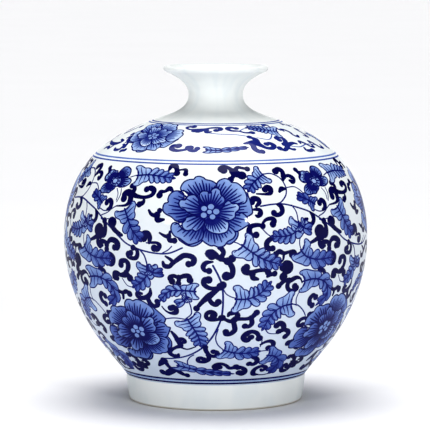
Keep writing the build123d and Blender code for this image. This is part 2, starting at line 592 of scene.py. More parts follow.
# Petals of the double flower, from the back to the front.
BACK_PETALS = (
    Petal(((0, 15), (13, 11), (19, 0), (13, -13), (0, -17), (-13, -13), (-19, 0),
          (-12, 12)), 0.9, 0.9, 0.5, 400),
    Petal(((22, 12), (24.4, 10), (26.2, 4.7), (27.2, 0), (26.2, -1.8), (22.5, -3.4), (16, -4),
          (8, 2)), 0.78, 0.4, 0.5, 5),
    Petal(((15.6, -12), (18, -12.6), (17.6, -16), (15, -19), (12.2, -20.2), (9, -18),
          (5, -8)), 0.8, 0.5, 0.5, 5),
    Petal(((-19.5, -16), (-15.8, -20), (-11, -21.6), (-7, -20.4), (-4.5, -17.5),
          (-8, -12)), 0.7, 0.45, 0.5, 40),
)
OUTER_PETALS = (
    Petal(((-15.4, 6.4), (-16.5, 11.6), (-19.4, 13.4), (-22.8, 13.2), (-25.7, 10.8), (-26.8, 7.6),
          (-26.5, 5.9), (-28.9, 5), (-29.9, 3), (-29.8, 0.1), (-27.6, -1.9), (-24.5, -3.3), (-21.7, -5.6),
          (-18.2, -6.2), (-13, -4), (-8, 0)), 0.86, 0.42, 0.5, 6),
    Petal(((-10.8, 11), (-15.4, 13.3), (-18.2, 14), (-18.4, 16.4), (-16.4, 19.8), (-13.1, 21.5),
          (-10.3, 21.8), (-9.2, 23.3), (-6.8, 24), (-4.2, 23), (-2.5, 21.6), (0.7, 20.8), (3.4, 19.2),
          (4.2, 17.4), (1.8, 15), (-2, 6)), 0.84, 0.3, 0.5, 6),
    Petal(((5, 14), (4.2, 18), (5.8, 21), (9.3, 22.4), (12.2, 21.2), (13.6, 19.6), (16.8, 19.2),
          (19.8, 16.8), (22.2, 13.3), (23.5, 9.3), (22.9, 6.4), (20.2, 5.1), (14, 5.4),
          (6, 5)), 0.82, 0.28, 0.5, 6),
    Petal(((17.4, -2), (20.2, -0.6), (23.6, -3.3), (23.8, -6.2), (25.2, -7.7), (22.5, -9.6), (19, -11.6),
          (16.8, -12.2), (13.3, -11.2), (12.2, -8), (8, -3)), 0.84, 0.36, 0.5, 6),
    Petal(((-3.9, -14.4), (-4.7, -17.1), (-2.8, -19.1), (0.7, -21.1), (3, -21), (4.4, -21.6), (6.4, -22),
          (9.3, -21.2), (11.6, -18.5), (15, -16.6), (16.4, -13.1), (12, -9),
          (2, -6)), 0.86, 0.36, 0.55, 6),
    Petal(((-15, -11.6), (-20, -7.4), (-23.3, -7.4), (-24.5, -10.2), (-23.9, -13.1), (-21.8, -15.6),
          (-18.8, -16.8), (-16.6, -18.4), (-13.1, -20.4), (-9.7, -19.8), (-6.2, -18.3), (-3.9, -15.6),
          (-4, -11), (-5, -4)), 0.86, 0.34, 0.5, 6),
)
INNER_PETALS = (
    Petal(((-6.2, 4.7), (-7.3, 9.5), (-9.6, 11.1), (-13.1, 10.6), (-14.8, 8.7), (-15.6, 7.6), (-18.3, 7.6),
          (-19.6, 5.3), (-18.3, 2.4), (-16, 1.6), (-14.2, 0), (-11.3, -1.4), (-7.3, -1.2),
          (-2, 0.5)), 0.84, 0.32, 0.28, 10),
    Petal(((-3.9, 5.9), (-6, 8.7), (-6.4, 11.6), (-4.6, 13.6), (-1.6, 13.5), (0.1, 12.2), (1.3, 14.7),
          (4.1, 15.9), (6.6, 14), (6.9, 11.6), (9.1, 9.3), (9.5, 7), (7.6, 4.7), (4, 3.4),
          (0.5, 1.5)), 0.84, 0.38, 0.3, 10),
    Petal(((-6.2, -3), (-10.8, -2.2), (-14.2, -3.3), (-15.5, -5.6), (-17.2, -7.4), (-16.7, -10.2),
          (-14.2, -11.9), (-10.8, -11.2), (-8.5, -12.2), (-5.4, -10.2), (-3.1, -6.8),
          (-2, -2)), 0.82, 0.32, 0.28, 10),
    Petal(((5, -1), (6.4, 1.3), (8.7, 3.6), (9.9, 6.6), (12.2, 7.2), (14.5, 5.3), (16.8, 5.4), (18.7, 3.6),
          (18.4, 1.3), (16.4, -0.5), (16, -3.3), (13.3, -5.2), (9.9, -5), (6.4, -4.1),
          (2, -1)), 0.82, 0.26, 0.3, 10),
    Petal(((-2.8, -4.5), (-1.6, -3), (3, -3.6), (7.8, -3.9), (11.6, -6), (12.1, -9.1), (11.1, -12.2),
          (7.6, -13.6), (4.1, -13.6), (0.7, -12.6), (-1.6, -10.9), (-2.9, -8)), 0.78, 0.22, 0.32, 8),
)
# Round seeds at the heart of the double flower: place and radius.
CENTRE_DOTS = (
    (0.9, 3.4, 1.75), (-3.4, 2.2, 1.65), (4.2, 0.3, 1.8),
    (-3.6, -2, 1.7), (1.9, -3, 1.6), (0, 0.1, 1.35),
)
# Petals of the single flower.
SMALL_PETALS = (
    Petal(((0.3, 5.4), (1.2, 8.2), (3.1, 10.5), (6, 10.7), (9.5, 8.6), (10.4, 4.3), (6.6, 2.7),
          (2, 2)), 0.66, 0.42, 0.36, 8),
    Petal(((4.7, 2.3), (10.6, 2.7), (13.7, 1), (13.1, -1.6), (9.5, -3.7), (5.6, -3.9),
          (2, -2)), 0.66, 0.3, 0.36, 8),
    Petal(((-1.4, 7), (-3.6, 7.1), (-5.8, 7.8), (-8, 7), (-8.6, 5), (-10.5, 2.7), (-10, 0.4), (-7.5, -0.8),
          (-3, -0.5), (0, 3)), 0.64, 0.24, 0.36, 8),
    Petal(((-4.3, -1.2), (-8.6, -2.7), (-10.6, -5.4), (-10.4, -7.8), (-7.7, -9.1), (-4.6, -8.4),
          (-1.9, -8.5), (0, -7), (2.4, -4.7), (1, -1)), 0.7, 0.4, 0.36, 8),
    Petal(((-3.1, -0.4), (-3.1, 1.9), (-0.1, 3.1), (2, 2.6), (4.2, 2.3), (5.8, 0), (4.8, -2.3), (3, -3.9),
          (-0.9, -3.1), (-2.7, -2.3)), 0.26, 0.44, 0.4, 30),
)


@dataclass(frozen=True)
class Flower:
    """A flower: where it stands, how large it is, how it is turned and how dark it is laid."""

    centre: Point
    petals: tuple[Petal, ...]
    dots: tuple[tuple[float, float, float], ...] = ()
    size: float = 1.0
    turn: float = 0.0
    tone: float = 0.0
    wide: float = 1.0

    def place(self, painter: Painter, local: np.ndarray) -> np.ndarray:
        """Puts a shape in the flower's own millimetres on the vase.

        Args:
            painter: the painter it is drawn for.
            local: points in the flower's own millimetres.

        Returns:
            The points as degrees and millimetres on the painting.
        """
        turn = math.radians(self.turn)
        x = (local[:, 0] * math.cos(turn) - local[:, 1] * math.sin(turn)) * self.size * self.wide
        y = (local[:, 0] * math.sin(turn) + local[:, 1] * math.cos(turn)) * self.size
        return painter.place(self.centre, np.column_stack([x, y]))

    def unplace(self, painter: Painter, points: np.ndarray) -> np.ndarray:
        """Takes points on the vase back to the flower's own millimetres.

        Args:
            painter: the painter it is drawn for.
            points: rows of degrees and millimetres.

        Returns:
            The points in the flower's own millimetres.
        """
        across = painter.outline.per_degree(points[:, 1])
        x = (points[:, 0] - self.centre[0]) * across / (self.size * self.wide)
        y = (points[:, 1] - self.centre[1]) / self.size
        turn = math.radians(-self.turn)
        return np.column_stack(
            [x * math.cos(turn) - y * math.sin(turn), x * math.sin(turn) + y * math.cos(turn)]
        )

    def paint(self, painter: Painter) -> None:
        """Lays the flower from its back to its front.

        Args:
            painter: the painter that it is laid with.
        """
        for petal in self.petals:
            petal.paint(painter, self)
        ring = np.radians(np.arange(0.0, 360.0, 30.0))
        round_ = np.column_stack([np.cos(ring) * 1.1, np.sin(ring)])
        for x, y, radius in self.dots:
            for size, ink in ((radius + 0.6, Ink.DARK - 0.08), (radius, Ink.MID - 0.14)):
                disc = self.place(painter, np.array([x, y]) + round_ * size)
                painter.fill(disc, lambda p, ink=ink: np.full(len(p), float(ink)))


# A leaf's wing and one of its lobes, from the stalk to the tip, in shares of length and reach.
LEAF_WING = (
    (0.04, 0.16), (0.01, 0.5), (-0.07, 0.84), (-0.05, 1.08), (0.05, 1.14),
    (0.13, 0.98), (0.2, 0.8), (0.29, 0.78), (0.36, 0.6), (0.36, 0.34),
)
LEAF_LOBE = ((0.3, 0.86), (0.75, 1.16), (1.16, 1.04), (1.24, 0.66), (1.12, 0.34))
# A wing's veins: root and end along the spine, reach to the side, and weight.
WING_VEINS = ((0.04, -0.03, 0.9, 0.8), (0.16, 0.08, 0.92, 0.8), (0.26, 0.22, 0.68, 0.8))


@dataclass(frozen=True)
class Leaf:
    """A lobed leaf on a bent spine, from its stalk to its tip."""

    spine: tuple[Point, ...]
    half_width: float
    tone: float = 0.0
    lobes: int = 4
    left: float = 1.0
    right: float = 1.0

    def lobe_edges(self) -> list[tuple[float, float, float]]:
        """Gives each lobe beyond the wings its start and end along the spine and its reach.

        Returns:
            Start, end and reach of each lobe.
        """
        marks = np.linspace(0.36, 0.95, self.lobes)
        reach = np.interp(marks, (0.36, 0.7, 0.95), (0.74, 0.56, 0.34))
        return [(float(a), float(b), float(r)) for a, b, r in zip(marks, marks[1:], reach)]

    def paint(self, painter: Painter) -> None:
        """Lays the wash, the veins, the spine and the outline.

        Args:
            painter: the painter that it is laid with.
        """
        raw = np.array(self.spine, float)
        middle = raw[:, 0].mean()
        line = through(painter.flat(raw - [middle, 0.0]), 12)
        away = np.concatenate([[0.0], np.cumsum(np.linalg.norm(np.diff(line, axis=0), axis=1))])
        total = away[-1]
        slope = np.gradient(line, axis=0)
        slope /= np.linalg.norm(slope, axis=1, keepdims=True)

        def at(share: float, offset: float) -> np.ndarray:
            """Point beside the spine.

            Args:
                share: how far along the spine, from 0 to 1; it may run a little past the ends.
                offset: how far to the left, in half widths.

            Returns:
                The point, in millimetres round and up.
            """
            d = min(max(share, 0.0), 1.0) * total
            p = np.array([np.interp(d, away, line[:, k]) for k in (0, 1)])
            t = np.array([np.interp(d, away, slope[:, k]) for k in (0, 1)])
            over = (share - min(max(share, 0.0), 1.0)) * total
            return p + t * over + np.array([-t[1], t[0]]) * offset * self.half_width

        lobes = self.lobe_edges()
        sides = []
        for way in (self.left, -self.right):
            side = [at(share, reach * way) for share, reach in LEAF_WING]
            for near, far, full in lobes:
                side += [at(near + share * (far - near), full * reach * way) for share, reach in LEAF_LOBE]
            sides.append(side)
        ring = np.array([at(0.0, 0.0)] + sides[0] + [at(1.06, 0.0)] + sides[1][::-1])
        edge = painter.round_(through(ring, 3, closed=True)) + [middle, 0.0]
        spine_on_vase = painter.round_(line) + [middle, 0.0]

        def wash(points: np.ndarray) -> np.ndarray:
            """Ink that is darkest by the spine and toward the tip.

            Args:
                points: rows of degrees and millimetres.

            Returns:
                The ink at each point.
            """
            k = painter.outline.per_degree(points[:, 1])[:, None]
            gap = points[:, None, :] - spine_on_vase[None, ::3, :]
            away_from = np.hypot(gap[:, :, 0] * k, gap[:, :, 1])
            close = away_from.argmin(1) * 3 / max(len(spine_on_vase) - 1, 1)
            depth = 1.0 - np.clip(away_from.min(1) / self.half_width, 0.0, 1.0)
            return np.clip(0.15 + 0.36 * self.tone + 0.2 * depth**2.0 + 0.32 * close**2.0, 0.0, 0.9)

        painter.fill(edge, wash)
        for way in (self.left, -self.right):
            leads = list(WING_VEINS)
            for near, far, full in lobes:
                leads.append((near - 0.06, near + 0.2 * (far - near), full * 0.62, 1.15))
                leads.append((near + 0.45 * (far - near), far + 0.1 * (far - near), full * 0.82, 0.6))
            for root, end, out, weight in leads:
                bend = at(root * 0.4 + end * 0.6, way * out * 0.5)
                vein = painter.round_(np.array([at(root, 0.0), bend, at(end, way * out)])) + [middle, 0.0]
                widths = (1.1 * weight, 0.95 * weight, 0.45)
                painter.stroke([tuple(p) for p in vein], widths, Ink.DEEP + 0.06, steps=2)
        tops = [tuple(p) for p in spine_on_vase[::4]]
        painter.stroke(tops, np.linspace(1.3, 0.8, len(tops)), Ink.DARK - 0.08, steps=2)
        painter.rim(edge, 0.85, Ink.DARK - 0.1)


# Lines that run all the way round: distance along the outside, width and ink.
BODY_LINES = (
    (1.9, 1.5, Ink.DARK),
    (4.9, 1.6, Ink.DARK - 0.04),
    (3.4, 1.4, Ink.PALE),
    (160.5, 1.2, Ink.DEEP - 0.1),
    (163.1, 1.3, Ink.MID),
)
NECK_LINES = ((204.0, 1.2, Ink.DEEP - 0.14), (206.3, 1.2, Ink.DEEP - 0.05))
# Thin stems of the belly: width, and middle line in degrees and millimetres.
STEMS = (
    (1.1, ((-48, 120.5), (-44, 117), (-38, 110), (-34, 105.5), (-28, 102.2), (-22, 100.6), (-17, 101),
      (-12, 104.6))),
    (0.8, ((-19.5, 101), (-17.4, 103), (-16, 105.4))),
    (1.1, ((17, 130.6), (22, 131.6), (27, 131.4), (33, 128.6), (38, 125.4), (43, 120.4), (48, 115),
      (53, 110))),
    (1.0, ((20.5, 152.4), (24, 152.6), (27.6, 149), (29, 143), (28.4, 137.6), (26, 133.2), (24, 131.8))),
    (0.8, ((29, 142.2), (33, 142.6), (35.8, 139.4), (37, 136))),
    (0.9, ((30, 130.6), (31.6, 126), (32, 119))),
    (0.8, ((-38, 149), (-35, 150.6), (-32, 151.2))),
    (0.8, ((17, 116.6), (19, 113), (21, 110.6))),
    (0.8, ((3.4, 108.6), (7, 108.2), (9.6, 106))),
    (0.8, ((33, 112), (32, 107.6), (32.4, 103), (34, 100))),
    (1.3, ((-1, 93.6), (1, 87), (2.4, 80), (2.8, 70), (2.4, 60), (1, 52), (-2, 42.5), (-6, 35),
      (-11, 29.6), (-16, 26.4), (-22, 24.6), (-28, 24))),
    (0.8, ((2.6, 79), (4, 75), (6.5, 72.6), (9, 72))),
    (0.9, ((1, 50), (0, 43), (1, 37.4), (3.4, 33.4))),
    (0.9, ((-23, 54.6), (-20, 57), (-16, 57.8), (-12, 57))),
    (0.9, ((-12, 57.4), (-9.6, 61), (-9.6, 66), (-10.4, 70.6))),
    (1.1, ((-28.6, 102.4), (-26.8, 99), (-25.8, 94), (-25.6, 91))),
    (0.9, ((31, 66.4), (34, 65), (37, 61), (39, 57))),
    (0.8, ((33, 65), (32.4, 70), (33.4, 75), (35, 79))),
    (0.9, ((-14.6, 19), (-14.2, 23), (-12.6, 26.4), (-10.4, 28.6))),
    (0.9, ((20.6, 31), (25, 31.2), (29, 28.6))),
    (0.8, ((21, 49), (23, 45.8), (26, 45), (29, 45.4))),
    (0.8, ((20.4, 42.5), (20.8, 39), (20.6, 35))),
    (0.7, ((-37, 83), (-35, 78.6), (-32, 77.6))),
    (0.7, ((-43, 140.6), (-41.6, 137), (-41.6, 132.6))),
    (0.7, ((-40.6, 140.6), (-40.2, 136.4), (-41.2, 131.6))),
    (0.8, ((-48, 122.4), (-45, 124.4), (-43, 127), (-41, 129))),
    (0.8, ((40.6, 126.6), (43, 125.4), (46, 126))),
    (0.7, ((44, 120), (47, 120.6), (50, 121))),
    (0.9, ((-26, 107), (-23, 106.8), (-21, 107.4))),
)
# Thin stems of the shoulder band.
SHOULDER_STEMS = (
    (0.9, ((-6, 193), (2, 191.4), (12, 190.6), (22, 187.6))),
    (0.9, ((26, 186), (33, 183.4), (38, 188), (41, 193))),
    (0.9, ((25, 199), (21, 198), (17, 195))),
    (0.9, ((44, 175), (50, 173.6), (58, 175.6), (66, 174))),
)
# Hooked scrolls from the widest ring up: middle line in degrees and millimetres, and widths.
UPPER_SCROLLS = (
    (((-20.5, 155.5), (-19.8, 158.4), (-18, 158.6), (-17, 156), (-16.7, 153.2)), (1.5, 3, 3, 2.6, 2.4)),
    (((-17, 155), (-14.8, 156), (-13, 155.8), (-12.8, 152.8)), (1.5, 1.2, 2.2, 2.4)),
    (((-22.3, 137.6), (-22, 139.8), (-20.2, 140.3), (-18.5, 142.2), (-17.2, 140.8)),
      (2.6, 2.4, 1.8, 3, 1.6)),
    (((-38, 134.2), (-38.2, 137), (-36.5, 138.4), (-34.5, 137.5), (-32, 136.2), (-28.5, 135.8),
      (-25.6, 137.5), (-25, 140.6), (-26.8, 142.2), (-28.3, 141.2)),
      (2.4, 3.4, 4, 3.4, 2.4, 2, 2.4, 3, 3, 2)),
    (((-34.5, 138), (-34, 141.2), (-35.6, 143)), (3, 2.6, 1.8)),
    (((-35, 137), (-34.8, 133), (-36.5, 130), (-41, 129)), (3, 3.4, 1.6, 0.8)),
    (((-28.5, 135), (-28.8, 132.4), (-30.3, 131)), (1.2, 2.6, 2.8)),
    (((-25.8, 127.5), (-24.5, 125), (-22.3, 124.6), (-21.4, 127.6)), (1.4, 2, 2.4, 2)),
    (((-22.3, 124.6), (-21.8, 121.7), (-19.4, 122)), (2.6, 3.2, 1.4)),
    (((-27, 109.8), (-27.1, 112.4), (-25.4, 112.8), (-24.6, 110), (-24.8, 107)), (2.4, 3.4, 3, 3, 1.6)),
    (((-24.8, 107.2), (-22, 107.3), (-20.6, 105.6), (-21.6, 103.4), (-22.7, 103.8)),
      (1.2, 1.6, 2.4, 3.2, 2.6)),
    (((-20.8, 113.6), (-18.8, 111.8), (-17.2, 111.6), (-16.8, 114.6)), (1, 1.8, 2.2, 1.2)),
    (((-17.3, 111.5), (-16.8, 109.2), (-15, 109)), (2, 2.6, 2.4)),
    (((-41.5, 117.2), (-42.9, 118.6), (-42, 120.2), (-40.8, 118.6), (-41.2, 115.6), (-39.5, 113),
      (-36.5, 110.8)), (2.4, 3, 3, 3.6, 3, 2.6, 1.6)),
    (((-47.4, 103.2), (-47, 105.4), (-44.8, 105.6), (-43.6, 103.6), (-43.8, 101)), (3, 3, 2.4, 2.6, 2)),
    (((-43.8, 104), (-42, 107.2), (-39.8, 107), (-38.2, 105), (-38.6, 102.6), (-39.9, 102.6)),
      (2, 2.8, 3.2, 3.2, 3.2, 2)),
    (((3.4, 155.6), (2, 156.2), (2.6, 158.2), (4.6, 158.4), (6.4, 156.6), (7.4, 154.4), (9, 153),
      (11, 151.8)), (2.4, 3, 2.4, 2.2, 2.6, 4, 4.4, 3)),
    (((8, 155), (9.6, 157.8), (11.4, 157.4), (13.8, 156.6)), (3, 2.2, 1.8, 1.8)),
    (((8, 153.6), (7.2, 151), (6.2, 149)), (2.8, 2.4, 2)),
    (((19.8, 141.6), (20.6, 143), (22, 142), (21.8, 139.4), (20.2, 138.4), (16, 138.8)),
      (2, 3, 3.2, 3, 1.6, 0.9)),
    (((29, 141.4), (27, 141.6), (25.8, 139.8)), (1.2, 2.8, 1.6)),
    (((26.4, 154.2), (28, 155.6), (29.6, 154), (29.4, 150.4), (28.6, 147.4)), (3, 3.2, 2.8, 2.8, 1.6)),
    (((29.4, 150), (32, 150.6), (33.6, 148.4), (33, 146), (31.8, 147)), (1.8, 2.2, 3, 2.8, 1.6)),
    (((36.8, 154.6), (38.2, 151.8), (40.6, 151.6), (41.4, 149.4)), (2.2, 2.4, 2.4, 1.6)),
    (((38.6, 151.4), (37.8, 148), (39, 146.2), (41, 147)), (2.2, 3, 3, 1.6)),
    (((13.8, 133.6), (14.5, 135.6), (16.2, 135.2), (16.7, 133), (15.4, 130.6)), (3, 3, 3, 2.6, 1.6)),
    (((13.5, 128.6), (16.4, 128.4), (16.8, 126), (15.8, 124.4), (15, 124.8)), (1, 2.2, 3, 2.2, 1.2)),
    (((24, 131.4), (25.4, 130), (25.7, 127), (24.5, 125), (22.8, 124.8), (22.2, 126)),
      (1.6, 2.8, 2.8, 2.4, 2.4, 2)),
    (((14.8, 112.6), (13, 112.4), (12.2, 115), (13, 118), (15.6, 118.8), (17.4, 118)),
      (2, 3, 3.2, 2.6, 2.2, 1.8)),
    (((17, 118.6), (18.6, 121.8), (21, 122.6), (22, 121), (21.4, 119)), (1.2, 1.8, 2.4, 3, 2.4)),
    (((22.6, 109.4), (20.4, 109.8), (18.8, 107.6), (18.8, 104.8), (20, 103.6), (21, 103.8)),
      (1.4, 2.6, 3, 3, 2.8, 1.8)),
    (((36.2, 121.2), (35.2, 120.4), (36, 118.2), (38, 117.8), (39.1, 120), (39, 123), (38, 125.2)),
      (1.6, 2.6, 2.6, 2.4, 2.6, 2.8, 1.4)),
    (((43.6, 130.8), (44.8, 132.4), (46.2, 130.8), (46, 127.6), (44.6, 126.2)), (2, 2.8, 3, 2.8, 1.6)),
    (((42.2, 111.4), (40.6, 111.2), (40.1, 113.6), (41.4, 115.4), (42.7, 114), (42.2, 110.4),
      (39.6, 107.8), (37, 106)), (3, 3.4, 3, 3, 3.6, 3, 2.4, 1.6)),
    (((42.4, 110), (44.4, 110.6), (45, 114.6), (44.2, 119)), (3, 4, 3, 2)),
    (((41.6, 109), (41.2, 105), (42.4, 102.8), (44, 103.2)), (2.6, 2.6, 2.6, 1.6)),
)
